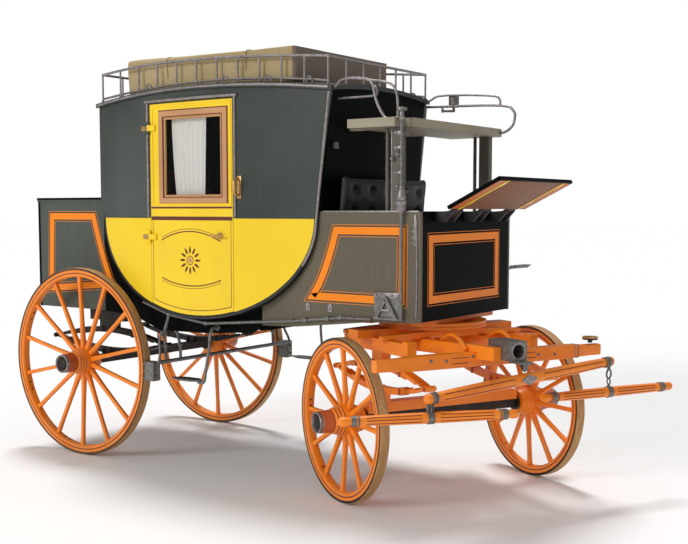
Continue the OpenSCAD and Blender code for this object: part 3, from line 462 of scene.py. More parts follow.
def bent_tube(points, radius):
    """A round bar along a smooth line through the points."""
    line = bpy.data.curves.new("line", "CURVE")
    line.dimensions = "3D"
    line.bevel_depth = radius
    line.bevel_resolution = 3
    line.resolution_u = 6
    line.use_fill_caps = True
    spline = line.splines.new("BEZIER")
    spline.bezier_points.add(len(points) - 1)
    for knot, point in zip(spline.bezier_points, points):
        knot.co = point
        knot.handle_left_type = knot.handle_right_type = "AUTO"
    held = bpy.data.objects.new("line", line)
    bpy.context.scene.collection.objects.link(held)
    data = bpy.data.meshes.new_from_object(held.evaluated_get(bpy.context.evaluated_depsgraph_get()))
    mesh = bmesh.new()
    mesh.from_mesh(data)
    bpy.data.objects.remove(held)
    bpy.data.curves.remove(line)
    bpy.data.meshes.remove(data)
    bmesh.ops.remove_doubles(mesh, verts=mesh.verts, dist=1e-6)
    return mesh


def eased(points, reach=0.03):
    """Adds points either side of each corner, so that a smooth line keeps its straights."""
    points = [Vector(p) for p in points]
    made = [points[0]]
    for before, corner, after in zip(points, points[1:], points[2:]):
        for other in (before, after):
            step = other - corner
            made.append(corner + step.normalized() * min(reach, step.length * 0.45))
    return made + [points[-1]]


def gathered(*parts):
    """One bmesh from several."""
    whole = bmesh.new()
    for part in parts:
        absorb(whole, part)
    return whole


def both(maker):
    """A part and its mirror image across the middle."""
    return gathered(maker(), absorb(bmesh.new(), maker(), MIRROR))


def dress(node, finish):
    """Gives a carried-over node its finish."""
    held = nodes[node].data.materials
    held.clear()
    held.append(finish)


# ---------- painted lines and mouldings that follow a surface ----------
BULGE_R = (0.9865 ** 2 + 0.095 ** 2) / (2 * 0.095)
SIDE_MIDDLE, SIDE_HALF = 1.0415, 0.640


def bulge(x):
    return math.sqrt(BULGE_R ** 2 - (x - SIDE_MIDDLE) ** 2) - BULGE_R + SIDE_HALF


def on_cabin(a, b, h): return (a, -bulge(a) - h, b)
def on_quarter(a, b, h): return (a, -0.546 - h, b)
def on_hind(a, b, h): return (a, -0.520 - h, b)
def on_front(a, b, h): return (2.653 + h, a, b)
def on_rear(a, b, h): return (-0.640 - h, a, b)


def lay(mesh, surface):
    """Cuts a flat outline finely enough to bend, and lays it on a surface."""
    if surface is on_cabin:
        for k in range(1, 28):
            sliced(mesh, (k * 0.08, 0, 0), (1, 0, 0))
    for vert in mesh.verts:
        vert.co = surface(*vert.co)
    return mesh


def band(outline, width, surface, proud=0.0008, inner=0.0):
    """A mitred band just inside a closed outline, inner metres further in."""
    mesh = bmesh.new()
    face = mesh.faces.new([mesh.verts.new((a, b, 0)) for a, b in outline])
    face.normal_update()
    if inner:
        bmesh.ops.inset_region(mesh, faces=[face], thickness=inner, use_even_offset=True, use_boundary=True)
        bmesh.ops.delete(mesh, geom=[f for f in mesh.faces if f is not face], context="FACES")
    bmesh.ops.inset_region(mesh, faces=[face], thickness=width, use_even_offset=True, use_boundary=True)
    bmesh.ops.delete(mesh, geom=[face], context="FACES_ONLY")
    loose = [v for v in mesh.verts if not v.link_faces]
    bmesh.ops.delete(mesh, geom=loose, context="VERTS")
    thickened(mesh, proud)
    return lay(mesh, surface)


def ribbon(points, width, surface, proud=0.0008):
    """A thin strip of even width along an open line."""
    mesh = bmesh.new()
    points = [Vector((a, b, 0)) for a, b in points]
    sides = []
    for i, point in enumerate(points):
        ahead = (points[min(i + 1, len(points) - 1)] - points[max(i - 1, 0)]).normalized()
        side = Vector((-ahead.y, ahead.x, 0)) * (width / 2)
        sides.append([mesh.verts.new(point + side), mesh.verts.new(point - side)])
    edges = [mesh.edges.new(pair) for pair in sides]
    for first, second in zip(edges, edges[1:]):
        bmesh.ops.bridge_loops(mesh, edges=[first, second])
    thickened(mesh, proud)
    return lay(mesh, surface)


def plate(outline, surface, proud=0.003):
    """A flat plate with the outline's shape."""
    mesh = bmesh.new()
    mesh.faces.new([mesh.verts.new((a, b, 0)) for a, b in outline])
    thickened(mesh, proud)
    return lay(mesh, surface)


def dome(centre, normal, radius, height):
    """A rounded bolt head."""
    made = disc_stack((radius, 0), (radius * 0.96, height * 0.4), (radius * 0.7, height * 0.85),
                      (radius * 0.3, height), steps=12)
    return placed(made, toward(centre, Vector(centre) + Vector(normal)))


# ---------- studio ----------
def studio():
    """A pale floor, white air that is brighter to the camera than to the coach, and two soft suns."""
    mesh = bmesh.new()
    bmesh.ops.create_grid(mesh, x_segments=1, y_segments=1, size=90)
    data = bpy.data.meshes.new("studio_floor")
    mesh.to_mesh(data)
    mesh.free()
    floor = bpy.data.objects.new("studio_floor", data)
    bpy.context.scene.collection.objects.link(floor)
    f = Finish("studio_floor")
    data.materials.append(f.finish(f.blend(f.noise(0.4, 2), (0.91, 0.91, 0.91), (0.925, 0.925, 0.925)), 0.9,
                                   Specular_IOR_Level=0.1))
    scene = bpy.context.scene
    world = bpy.data.worlds.new("studio_air")
    scene.world = world
    world.use_nodes = True
    tree = world.node_tree
    tree.nodes.clear()
    paths = tree.nodes.new("ShaderNodeLightPath")
    seen = tree.nodes.new("ShaderNodeMath")
    seen.operation = "ADD"
    tree.links.new(paths.outputs["Is Camera Ray"], seen.inputs[0])
    tree.links.new(paths.outputs["Is Transmission Ray"], seen.inputs[1])
    glow = tree.nodes.new("ShaderNodeMapRange")
    tree.links.new(seen.outputs[0], glow.inputs[0])
    glow.inputs["To Min"].default_value = 0.40
    glow.inputs["To Max"].default_value = 1.0
    air = tree.nodes.new("ShaderNodeBackground")
    air.inputs[0].default_value = (1, 1, 1, 1)
    tree.links.new(glow.outputs[0], air.inputs[1])
    tree.links.new(air.outputs[0], tree.nodes.new("ShaderNodeOutputWorld").inputs[0])
    for name, strength, softness, aim in (("key", 1.25, 20, (0.25, 0.90, -0.36)),
                                          ("top", 1.9, 16, (0.42, -0.42, -1.5))):
        lamp = bpy.data.lights.new(name, "SUN")
        lamp.energy = strength
        lamp.angle = math.radians(softness)
        held = bpy.data.objects.new(name, lamp)
        held.rotation_euler = Vector(aim).to_track_quat("-Z", "Y").to_euler()
        scene.collection.objects.link(held)
    scene.view_settings.view_transform = "Standard"


studio()


# ---------- wheels ----------
RIM, FELLOE, TYRE, NAVE = 0.060, 0.050, 0.013, 0.092
NAVE_OUT = RIM / 2 + 0.148


def spoke(inner, outer, foot):
    """A spoke that stands square in the nave, narrows, and swells again at the felloe."""
    mesh = bmesh.new()
    bmesh.ops.create_cube(mesh, size=1)
    bmesh.ops.scale(mesh, vec=(1, 1, outer - inner), verts=mesh.verts)
    long_edges = [e for e in mesh.edges if abs(e.verts[0].co.z - e.verts[1].co.z) > 0.01]
    bmesh.ops.subdivide_edges(mesh, edges=long_edges, cuts=7)
    sizes = ((0, 0.036, 0.036), (0.12, 0.031, 0.032), (0.3, 0.026, 0.028), (0.7, 0.025, 0.025),
             (1, 0.029, 0.028))
    for vert in mesh.verts:
        t = vert.co.z / (outer - inner) + 0.5
        for (t0, w0, d0), (t1, w1, d1) in zip(sizes, sizes[1:]):
            if t0 - 1e-6 <= t <= t1 + 1e-6:
                k = (t - t0) / (t1 - t0)
                vert.co.x *= w0 + (w1 - w0) * k
                vert.co.y *= d0 + (d1 - d0) * k
                break
        vert.co.z += (inner + outer) / 2
        vert.co.y += foot * (1 - vert.co.z / outer)
    rails = [e for e in mesh.edges if abs(e.verts[0].co.z - e.verts[1].co.z) > 0.01]
    bmesh.ops.bevel(mesh, geom=rails, offset=0.006, segments=2, profile=0.5, affect="EDGES", material=-1)
    return mesh


def arc_solid(profile, start, angle, steps):
    """A profile of (radius, y) swept round Y, with closed ends."""
    mesh = bmesh.new()
    face = mesh.faces.new([mesh.verts.new((r, y, 0)) for r, y in profile])
    bmesh.ops.spin(mesh, geom=[face], cent=(0, 0, 0), axis=(0, 1, 0), angle=angle, steps=steps)
    bmesh.ops.rotate(mesh, verts=mesh.verts, cent=(0, 0, 0), matrix=Matrix.Rotation(start, 3, "Y"))
    bmesh.ops.recalc_face_normals(mesh, faces=mesh.faces)
    return mesh


def ring_y(profile, steps=96):
    """A closed ring about Y from a profile of (radius, outward height): outward is -Y."""
    return turned(lathe(profile, steps), 90, "X")


def wheel(name, radius, spokes):
    """Felloes, spokes, nave, lines and tyre of one wheel, replacing its two nodes."""
    right = "right" in name
    place = Matrix.Translation(middle(name + "_tyre"))
    if name.startswith("front"):
        place = place @ Matrix.Rotation(STEER, 4, "Z")
    if not right:
        place = place @ MIRROR
    body = name + "_wheel"
    out, half = radius - TYRE, RIM / 2 - 0.0005
    inn = out - FELLOE
    soft = 0.008
    profile = [(out, -half), (out, half), (inn + soft, half), (inn + 0.002, half - soft * 0.7),
               (inn, half - soft - 0.004),
               (inn, -half + soft + 0.004), (inn + 0.002, -half + soft * 0.7), (inn + soft, -half)]
    count = spokes // 2
    turn = 2 * math.pi / count
    felloes = gathered(*[arc_solid(profile, k * turn + turn / spokes, turn - 0.0016, 18)
                         for k in range(count)])
    piece(name + "_felloes", felloes, place, body, "orange_wood", orange_wood, stands_for=[body], crease=30)
    foot = 0.026
    sticks = bmesh.new()
    for k in range(spokes):
        absorb(sticks, spoke(NAVE - 0.012, inn + 0.004, foot),
               Matrix.Rotation(k * 2 * math.pi / spokes, 4, "Y"))
    piece(name + "_spokes", sticks, place, body, "orange_wood", orange_wood, crease=50)
    # the nave is turned wood with three beads outside the spokes, then a painted barrel
    wood = [(0.028, -0.119), (0.070, -0.119), (0.074, -0.114), (0.080, -0.088), (NAVE - 0.002, -0.060),
            (NAVE, -0.052),
            (NAVE, 0.012), (NAVE - 0.002, 0.020)]
    for k in range(3):
        height = 0.022 + 0.019 * k
        size = 0.086 - 0.006 * k
        wood += [(size - 0.005, height), (size, height + 0.005), (size + 0.0005, height + 0.010),
                 (size - 0.004, height + 0.017)]
    wood += [(0.066, 0.082), (0.028, 0.082)]
    piece(name + "_nave", ring_y(wood, 64), place, body, "orange_wood", orange_wood, crease=35)
    beads = bmesh.new()
    for k in range(3):
        height = 0.0225 + 0.019 * k + 0.0055
        size = 0.0862 - 0.006 * k
        absorb(beads, ring_y([(size - 0.003, height), (size + 0.0012, height),
                              (size + 0.0016, height + 0.002),
                              (size + 0.0012, height + 0.004), (size - 0.003, height + 0.004)], 64))
    piece(name + "_nave_hoops", beads, place, body, "bright_iron", bright_iron)
    barrel = [(0.030, 0.0825), (0.0665, 0.0825), (0.068, 0.088), (0.068, 0.096), (0.0655, 0.100),
              (0.0645, 0.150),
              (0.060, 0.156), (0.030, 0.156)]
    piece(name + "_nave_barrel", ring_y(barrel, 64), place, body, "orange_wood", red_brown, crease=35)
    # the iron cap is a hollow mouth with the axle nut inside it
    cap = [(0.048, 0.150), (0.0615, 0.150), (0.0625, 0.156), (0.0625, NAVE_OUT - 0.003),
           (0.060, NAVE_OUT - 0.0005),
           (0.054, NAVE_OUT - 0.0005), (0.051, NAVE_OUT - 0.004), (0.048, NAVE_OUT - 0.02)]
    nut = lathe([(1e-5, 0.120), (0.048, 0.120), (0.048, NAVE_OUT - 0.021), (0.036, NAVE_OUT - 0.021),
                 (0.034, NAVE_OUT - 0.010), (0.020, NAVE_OUT - 0.006), (1e-5, NAVE_OUT - 0.006)], 8,
                closed=False)
    turned(nut, 90, "X")
    piece(name + "_cap", ring_y(cap, 48), place, body, "bright_iron", bright_iron, crease=35)
    piece(name + "_nut", nut, place, body, "black_iron", dark_iron, crease=35)
    # a brown line runs round each face of the rim, and a dark one beside the tyre
    lines, edge = bmesh.new(), bmesh.new()
    line_r = (inn + out) / 2
    for face in (1, -1):
        low, high = sorted((face * (half - 0.001), face * (half + 0.0006)))
        absorb(lines, ring_y([(line_r - 0.003, low), (line_r + 0.003, low), (line_r + 0.003, high),
                              (line_r - 0.003, high)], 128))
        absorb(edge, ring_y([(out - 0.004, low), (out - 0.0002, low), (out - 0.0002, high),
                             (out - 0.004, high)], 128))
    piece(name + "_rim_lines", lines, place, body, "orange_wood", brown_line)
    piece(name + "_rim_edge", edge, place, body, "black_iron", dark_iron)
    soft = 0.003
    iron = ring_y([(out, -RIM / 2 + soft / 2), (out + 0.002, -RIM / 2), (radius - soft, -RIM / 2),
                   (radius - 0.0008, -RIM / 2 + soft), (radius, -RIM / 2 + 3 * soft),
                   (radius, RIM / 2 - 3 * soft),
                   (radius - 0.0008, RIM / 2 - soft), (radius - soft, RIM / 2), (out + 0.002, RIM / 2),
                   (out, RIM / 2 - soft / 2)], 128)
    for face in iron.faces:
        face.normal_update()
        if abs(face.normal.y) > 0.8:
            face.material_index = 1
    piece(name + "_iron_tyre", iron, place, body, "tyre_iron", worn_tread, dark_iron,
          stands_for=[name + "_tyre"], crease=35)
    heads = bmesh.new()
    for k in range(count):
        for shift in (-0.045, 0.045):
            angle = k * turn + turn / spokes + shift
            spot = Vector((math.cos(angle), 0, -math.sin(angle)))
            absorb(heads, dome(spot * (inn + 0.001), -spot, 0.007, 0.004))
    piece(name + "_rim_bolts", heads, place, body, "black_iron", dark_iron)


for end, radius, spokes in (("rear", 0.650, 14), ("front", 0.481, 12)):
    for side in ("right", "left"):
        wheel(end + "_" + side, radius, spokes)


# ---------- carried-over nodes ----------
def boat_finish():
    """The floor's node: boards inside, and a black edge where the boat's skin shows outside."""
    f = Finish("boat_skin")
    along, up = (f.x - (axle_place.x + 1.018)) * (1 / 0.925), (f.z - BELT) * (1 / 0.646)
    outer = (along * along + up * up) > 0.93
    grain = f.noise(5, 5, (1, 14, 14), 0.6)
    wood = f.blend(grain.smooth(0.3, 0.75), tint(84, 56, 38), tint(132, 94, 62))
    cloud = f.noise(6, 3)
    black = f.blend(cloud, tint(9, 11, 10), tint(24, 26, 24))
    return f.finish(f.blend(outer, wood, black), 0.6 - outer * 0.25 + 0.15 * grain, grain, 0.0006)


boat_skin = boat_finish()
for finish, dressed in (
        (boat_skin, "cabin_floor"),
        (side_paint, "right_side_panel left_side_panel"),
        # the underframe's black is partly its paint and partly painted shade under the body
        (black_paint, "front_wall front_panel underframe"),
        (dark_paint, "rear_wall roof"),
        (yellow_paint, "right_door left_door"),
        (clear_pane, "right_door_glass left_door_glass"),
        (boot_paint, "hind_boot boot_door"),
        (olive_paint, "right_quarter_panel left_quarter_panel"),
        (floor_boards, "driver_box"),
        (grey_paint, "canopy"),
        (post_paint, "canopy_posts"),
        (dark_iron, "flap_brackets rear_springs rear_axle front_axle mounting_disc"),
        (grey_iron, "lamp_socket brake_spindle brake_rod brake_shoes pole_socket steps"),
        (orange_wood, "upper_turntable axle_bed front_springs lower_turntable futchells"),
        (old_brass, "right_door_lever left_door_lever")):
    for node in dressed.split():
        dress(node, finish)

# ---------- painted lining ----------
LINE, GAP = 0.003, 0.011


def lining(name, outline, width, surface, body="coach", mirrored=True):
    """A broad orange band between two fine lines, each with a black shadow line."""
    wide, fine, dark = bmesh.new(), bmesh.new(), bmesh.new()
    start = LINE + GAP
    for target, thick, inner, proud in ((wide, width, start, 0.0012), (fine, LINE, 1e-4, 0.0008),
                                        (fine, LINE, start + width + GAP, 0.0008),
                                        (dark, 0.002, start - 0.004, 0.0005),
                                        (dark, 0.002, start + width + 0.002, 0.0005)):
        absorb(target, band(outline, thick, surface, proud, inner))
        if mirrored:
            absorb(target, band(outline, thick, surface, proud, inner), MIRROR)
    piece(name + "_band", wide, COACH, body, "orange_wood", orange_line)
    piece(name + "_fine", fine, COACH, body, "orange_wood", orange_line)
    piece(name + "_shadow", dark, COACH, body, "black_paint", black_paint)


QUARTER_LINE = [(2.043, 1.613), (2.568, 1.613), (2.565, 1.143), (1.826, 1.147), (1.870, 1.205),
                (1.915, 1.275),
                (1.950, 1.345), (1.980, 1.418), (2.007, 1.495)]
lining("quarter", QUARTER_LINE, 0.044, on_quarter)
HIND_LINE = [(-0.528, 1.688), (-0.027, 1.688), (0.000, 1.602), (0.038, 1.480), (0.086, 1.345), (0.134, 1.240),
             (0.183, 1.160), (0.060, 1.142), (-0.300, 1.110), (-0.556, 1.092)]
lining("hind_side", HIND_LINE, 0.046, on_hind)
lining("front", [(-0.470, 1.568), (0.405, 1.576), (0.405, 1.150), (-0.470, 1.150)], 0.044, on_front,
       mirrored=False)
lining("rear", [(-0.36, 1.62), (0.36, 1.62), (0.36, 1.13), (-0.36, 1.13)], 0.044, on_rear, "boot_door", False)

# ---------- doors ----------
WINDOW = (0.755, 1.261, 1.780, 2.292)
MEDAL_X, MEDAL_Z = 0.983, 1.375
PETAL = [(0.042, 0.0), (0.052, 0.0065), (0.066, 0.0085), (0.082, 0.005), (0.092, 0.0)]


def window_outline(grow):
    left, right, low, high = WINDOW
    return [(left - grow, low - grow), (right + grow, low - grow), (right + grow, high + grow),
            (left - grow, high + grow)]


def boat_z(x, inset):
    return BELT - (0.646 - inset) * math.sqrt(max(0.0, 1 - ((x - 1.018) / (0.925 - inset)) ** 2))


def sided(mesh, side):
    """A part made for the right side, or its mirror image for the left."""
    return mesh if side == "right" else absorb(bmesh.new(), mesh, MIRROR)


for side in ("right", "left"):
    body = side + "_door"
    sash = gathered(band(window_outline(0.040), 0.034, on_cabin, 0.007),
                    band(window_outline(0.004), 0.018, lambda a, b, h: on_cabin(a, b, h - 0.006), 0.006))
    piece(side + "_sash", sided(sash, side), COACH, body, "door_yellow", frame_brown)
    rims = gathered(band(window_outline(0.047), 0.007, on_cabin, 0.002),
                    band(window_outline(0.006), 0.005, on_cabin, 0.0078))
    lines = [ribbon([(0.626, 1.712), (0.98, 1.712), (1.338, 1.712)], 0.012, on_cabin, 0.001),
             ribbon([(0.626, 1.643), (0.98, 1.643), (1.338, 1.643)], 0.024, on_cabin, 0.001),
             ribbon([(0.640, 1.630), (0.640, boat_z(0.640, 0.055))], 0.0035, on_cabin),
             ribbon([(1.326, 1.630), (1.326, boat_z(1.326, 0.055))], 0.0035, on_cabin),
             ribbon([(0.640 + 0.0343 * k, boat_z(0.640 + 0.0343 * k, 0.055)) for k in range(21)], 0.0045,
                    on_cabin)]
    piece(side + "_door_lines", sided(gathered(rims, *lines), side), COACH, body, "door_yellow", brown_line)
    beads = gathered(band([(0.640, 1.728), (1.333, 1.728), (1.333, 2.366), (0.640, 2.366)], 0.010, on_cabin,
                          0.004))
    piece(side + "_door_bead", sided(beads, side), COACH, body, "door_yellow", yellow_paint)
    # a plain medallion of petals between two arched lines, where a coach would carry its owner's arms
    disc = [(MEDAL_X + 0.030 * math.cos(k * math.pi / 16), MEDAL_Z + 0.030 * math.sin(k * math.pi / 16))
            for k in range(32)]
    petals = [band(disc, 0.005, on_cabin, 0.0009)]
    for k in range(12):
        angle = k * math.pi / 6
        points = PETAL + [(t, -w) for t, w in reversed(PETAL[1:-1])]
        petals.append(plate([(MEDAL_X + t * math.cos(angle) - w * math.sin(angle),
                              MEDAL_Z + t * math.sin(angle) + w * math.cos(angle)) for t, w in points],
                            on_cabin, 0.0009))
    for arch, middle_z, rise in ((1, 1.520, 0.060), (-1, 1.235, 0.045)):
        for shift, width in ((0, 0.007), (0.017, 0.003)):
            petals.append(ribbon([(MEDAL_X + 0.26 * t / 10,
                                   middle_z + shift * arch + arch * rise * (1 - (t / 10) ** 2) - 0.02 * arch)
                                  for t in range(-10, 11)], width, on_cabin, 0.0009))
    piece(side + "_medallion", sided(gathered(*petals), side), COACH, body, "door_yellow", brown_line)
    heart = disc_stack((0.017, 0), (0.016, 0.0014), (0.008, 0.003), steps=24)
    placed(heart, toward(on_cabin(MEDAL_X, MEDAL_Z, 0), on_cabin(MEDAL_X, MEDAL_Z, 1)))
    piece(side + "_medallion_heart", sided(heart, side), COACH, body, "door_yellow", frame_brown)


# ---------- mouldings, handles and hardware on the cabin ----------
def eaves(x):
    return 2.400 + 0.055 * (1 - ((x - SIDE_MIDDLE) / 0.9865) ** 2)


def gallery_top(x):
    return 2.656 - (0.038 if x < 0.75 else 0.064) * ((x - 0.75) / (0.65 if x < 0.75 else 1.28)) ** 2


def over(points, h):
    """Points (x, z) on the cabin's side, h metres proud."""
    return [on_cabin(x, z, h) for x, z in points]


def cabin_mouldings():
    hood_z = 2.398
    parts = [bent_tube(over([(0.601, 1.650), (0.601, 1.9), (0.601, 2.2), (0.601, hood_z)], 0.004), 0.0085),
             bent_tube(over([(1.363, 1.650), (1.363, 1.9), (1.363, 2.2), (1.363, hood_z)], 0.004), 0.0085),
             bent_tube(over([(0.585 + 0.8 * k / 12, hood_z + 0.004) for k in range(13)], 0.008), 0.0105),
             bent_tube(over([(0.060 + 1.965 * k / 20, eaves(0.060 + 1.965 * k / 20) + 0.012)
                             for k in range(21)], 0.018), 0.008),
             bent_tube(over([(1.945 + 0.083 * k / 8 - 0.006, 1.645 + 0.745 * k / 8) for k in range(9)],
                            0.003), 0.009),
             bent_tube(over([(1.018 + 0.921 * math.sin(math.radians(a)),
                              BELT - 0.643 * math.cos(math.radians(a)))
                             for a in (64, 70, 76, 83, 90)], 0.003), 0.009)]
    return gathered(*parts)


piece("cabin_mouldings", both(cabin_mouldings), COACH, "coach", "bright_iron", bright_iron)


def belt_shadow():
    return gathered(ribbon([(0.10 + 0.049 * k, BELT + 0.002) for k in range(11)], 0.006, on_cabin, 0.002),
                    ribbon([(1.366 + 0.057 * k, BELT + 0.002) for k in range(11)], 0.006, on_cabin, 0.002))


piece("belt_line", both(belt_shadow), COACH, "coach", "body_paint", dark_paint)


def grab_handle():
    base = on_cabin(1.392, 1.837, 0)
    bar = bent_tube(eased([(1.392, base[1], 1.788), (1.392, base[1] - 0.042, 1.792),
                           (1.392, base[1] - 0.046, 1.882),
                           (1.392, base[1], 1.886)], 0.02), 0.0085)
    grip = disc_stack((0.009, 0), (0.0135, 0.012), (0.0145, 0.040), (0.0135, 0.068), (0.009, 0.080), steps=24)
    moved(grip, (1.392, base[1] - 0.0455, 1.797))
    back = board((1.374, base[1] - 0.004, 1.768), (1.410, base[1] + 0.002, 1.906), 0.0015)
    return gathered(bar, grip, back)


piece("grab_handles", both(grab_handle), COACH, "coach", "brass", old_brass)


def roof_hooks():
    """Iron eyes along the eaves, where a cover is lashed down."""
    parts = []
    for x in (0.630, 1.300, 1.620, 1.900):
        foot = Vector(on_cabin(x, eaves(x) + 0.030, 0.006))
        parts.append(bent_tube([foot + Vector((-0.020, 0, -0.006)), foot + Vector((-0.019, -0.004, 0.024)),
                                foot + Vector((0, -0.006, 0.038)), foot + Vector((0.019, -0.004, 0.024)),
                                foot + Vector((0.020, 0, -0.006))], 0.0055))
    return gathered(*parts)


piece("roof_hooks", both(roof_hooks), COACH, "coach", "grey_iron", grey_iron)


def hinge_plates():
    parts = []
    for z in (1.520, 2.230):
        parts.append(plate([(0.548, z - 0.016), (0.602, z - 0.012), (0.602, z + 0.012), (0.548, z + 0.016),
                            (0.536, z)], on_cabin, 0.005))
    return gathered(*parts)


piece("hinge_plates", both(hinge_plates), COACH, "coach", "brass", old_brass)


# ---------- hind boot ----------
def boot_trim():
    edge = 0.522
    return gathered(board((-0.652, -0.530, 1.768), (0.050, -edge, 1.783), 0.003),
                    board((-0.645, -edge - 0.003, 0.992), (-0.627, -0.500, 1.756), 0.003))


piece("boot_trim", both(boot_trim), COACH, "coach", "black_paint", black_paint)
lid = board((-0.646, -0.524, 1.7785), (0.048, 0.524, 1.7845), 0.002)
piece("boot_lid", lid, COACH, "coach", "body_paint", grey_paint)
boards = gathered(*[board((-0.6465, -0.516 + 0.344 * k, 1.001),
                          (-0.6405, -0.516 + 0.344 * k + 0.003, 1.052), 0) for k in range(4)])
piece("boot_seams", boards, COACH, "coach", "black_paint", black_paint)


# ---------- gallery and luggage ----------
def gallery():
    y, count = 0.549, 12
    low_x, high_x = 0.100, 2.016
    step = (high_x - low_x) / (count - 1)
    spots = [low_x + k * step for k in range(count)]

    def foot(x):
        return eaves(x) + 0.029 + 0.035 * (1 - (y / bulge(x)) ** 2)

    parts = []
    for side in (-1, 1):
        parts.append(bent_tube([(x, side * y, gallery_top(x)) for x in spots], 0.0085))
        parts.append(bent_tube([(x, side * y, foot(x) + 0.020) for x in spots], 0.0075))
        for x in spots:
            parts.append(rod((x, side * y, foot(x) - 0.004), (x, side * y, gallery_top(x)), 0.0065, steps=12))
            parts.append(rod((x, side * y, foot(x) - 0.002), (x, side * y, foot(x) + 0.012), 0.012, 0.009,
                             steps=12))
    for x in (low_x, high_x):
        parts.append(rod((x, -y - 0.004, gallery_top(x)), (x, y + 0.004, gallery_top(x)), 0.0085))
        for k in range(1, 6):
            across_y = -y + k * y / 3
            floor_z = eaves(x) + 0.028 + 0.035 * (1 - (across_y / bulge(x)) ** 2)
            parts.append(rod((x, across_y, floor_z), (x, across_y, gallery_top(x)), 0.0065, steps=12))
    return gathered(*parts)


piece("roof_gallery", gallery(), COACH, "coach", "bright_iron", bright_iron, stands_for=["gallery_rail"])


def luggage():
    """A box under a waxed canvas: softened corners, sagging sides and folds gathered at the ends."""
    low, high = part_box("luggage_box")
    low, high = COACH.inverted() @ low, COACH.inverted() @ high
    mesh = board((low.x + 0.006, low.y + 0.006, low.z + 0.012),
                 (high.x - 0.006, high.y - 0.006, high.z - 0.008), 0.024, 3)
    for axis, count in ((0, 56), (1, 40), (2, 14)):
        for k in range(1, count):
            normal = Vector((axis == 0, axis == 1, axis == 2))
            spot = Vector([low[i] + (high[i] - low[i]) * k / count for i in range(3)])
            sliced(mesh, spot, normal)
    span = high - low
    for vert in mesh.verts:
        u, v, w = ((vert.co[i] - low[i]) / span[i] for i in range(3))
        wave = noise.noise(Vector((vert.co.x * 2.2, vert.co.y * 2.6, vert.co.z * 5)))
        fine = noise.noise(Vector((vert.co.x * 9, vert.co.y * 8, vert.co.z * 12)))
        push = 0.006 * wave + 0.0022 * fine - 0.004
        if v < 0.02 or v > 0.98:
            vert.co.y += push * (1 if v > 0.5 else -1)
        if u < 0.02 or u > 0.98:
            vert.co.x += push * (1 if u > 0.5 else -1)
        if w > 0.9:
            vert.co.z += push - 0.018 * u
        if vert.co.z > high.z - 0.012:
            vert.co.z -= 0.012 * math.sin(math.pi * u) * math.sin(math.pi * v)
    return mesh


piece("luggage_canvas", luggage(), COACH, "coach", "canvas", tan_canvas, stands_for=["luggage_box"],
      crease=60)


def canvas_seams():
    low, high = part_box("luggage_box")
    low, high = COACH.inverted() @ low, COACH.inverted() @ high
    parts = []
    for share in (0.27, 0.73):
        x = low.x + (high.x - low.x) * share
        top = high.z - 0.018 * share
        over_edge = [(low.z + 0.10, 0.004), (top - 0.020, 0.004), (top - 0.009, 0.03)]
        route = [(x, low.y + inset, z) for z, inset in over_edge]
        route += [(x, high.y - inset, z) for z, inset in reversed(over_edge)]
        parts.append(bent_tube(eased(route, 0.01), 0.003))
    return gathered(*parts)


piece("canvas_seams", canvas_seams(), COACH, "coach", "canvas", tan_canvas)

# ---------- knee flap ----------
FLAP_ANGLE = math.radians(26.6)
FLAP = COACH @ Matrix.Translation((2.765, 0, 1.700)) @ Matrix.Rotation(-FLAP_ANGLE, 4, "Y")


piece("flap_panel", board((0.021, -0.476, -0.0095), (0.379, 0.476, 0.0105)), FLAP, "knee_flap", "flap_wood",
      flap_wood, stands_for=["knee_flap"])
edges = gathered(board((0.020, -0.478, -0.0108), (0.380, -0.464, 0.0110), 0.002),
                 board((0.020, 0.464, -0.0108), (0.380, 0.478, 0.0110), 0.002),
                 board((0.366, -0.478, -0.0108), (0.380, 0.478, 0.0110), 0.002))
piece("flap_edges", edges, FLAP, "knee_flap", "black_paint", black_paint)
ends = gathered(*[board((0.034, y, -0.0108), (0.366, y + 0.086, -0.009), 0.001) for y in (-0.464, 0.378)])
piece("flap_end_bands", ends, FLAP, "knee_flap", "orange_wood",
      coach_paint("flap_rust", tint(196, 110, 54), 0.42, 0.1, 0.3, 0.08))
straps = bmesh.new()
for y in (-0.375, 0.355):
    absorb(straps, board((0.022, y, -0.0130), (0.372, y + 0.020, -0.0105), 0.001))
    for x in (0.085, 0.300):
        absorb(straps, board((x, y + 0.016, -0.0125), (x + 0.046, y + 0.034, -0.0105), 0.001))
piece("flap_straps", straps, FLAP, "knee_flap", "door_yellow", yellow_paint)
barrels = gathered(*[gathered(rod((0, y - 0.0387, 0), (0, y + 0.0387, 0), 0.0088, steps=20),
                              board((0.0, y - 0.033, -0.0055), (0.060, y + 0.033, 0.0050), 0.001))
                     for y in (-0.33, 0, 0.33)])
piece("flap_hinges", barrels, FLAP, "knee_flap", "black_iron", dark_iron)


# ---------- fore-carriage ----------
def swell(middle_r, end_r, t):
    """A draught bar's radius at t, which is 0 in the middle and 0.88 where the end knobs start."""
    return end_r + (middle_r - end_r) * max(0, 1 - (t / 0.88) ** 2) ** 0.8


def tapered_bar(length, middle_r, end_r):
    """A wooden bar along Y, fuller in the middle, with a swelling knob near each end."""
    half = length / 2
    rings = [(end_r * 0.7, -half), (end_r * 0.98, -half + 0.008), (end_r * 1.05, -half + 0.03),
             (end_r * 0.86, -half + 0.052), (end_r * 0.88, -half + 0.075)]
    for k in range(11):
        t = -0.88 + 1.76 * k / 10
        rings.append((swell(middle_r, end_r, t), t * half))
    rings += [(r, -h) for r, h in reversed(rings[:5])]
    return turned(disc_stack(*rings, steps=20), -90, "X")


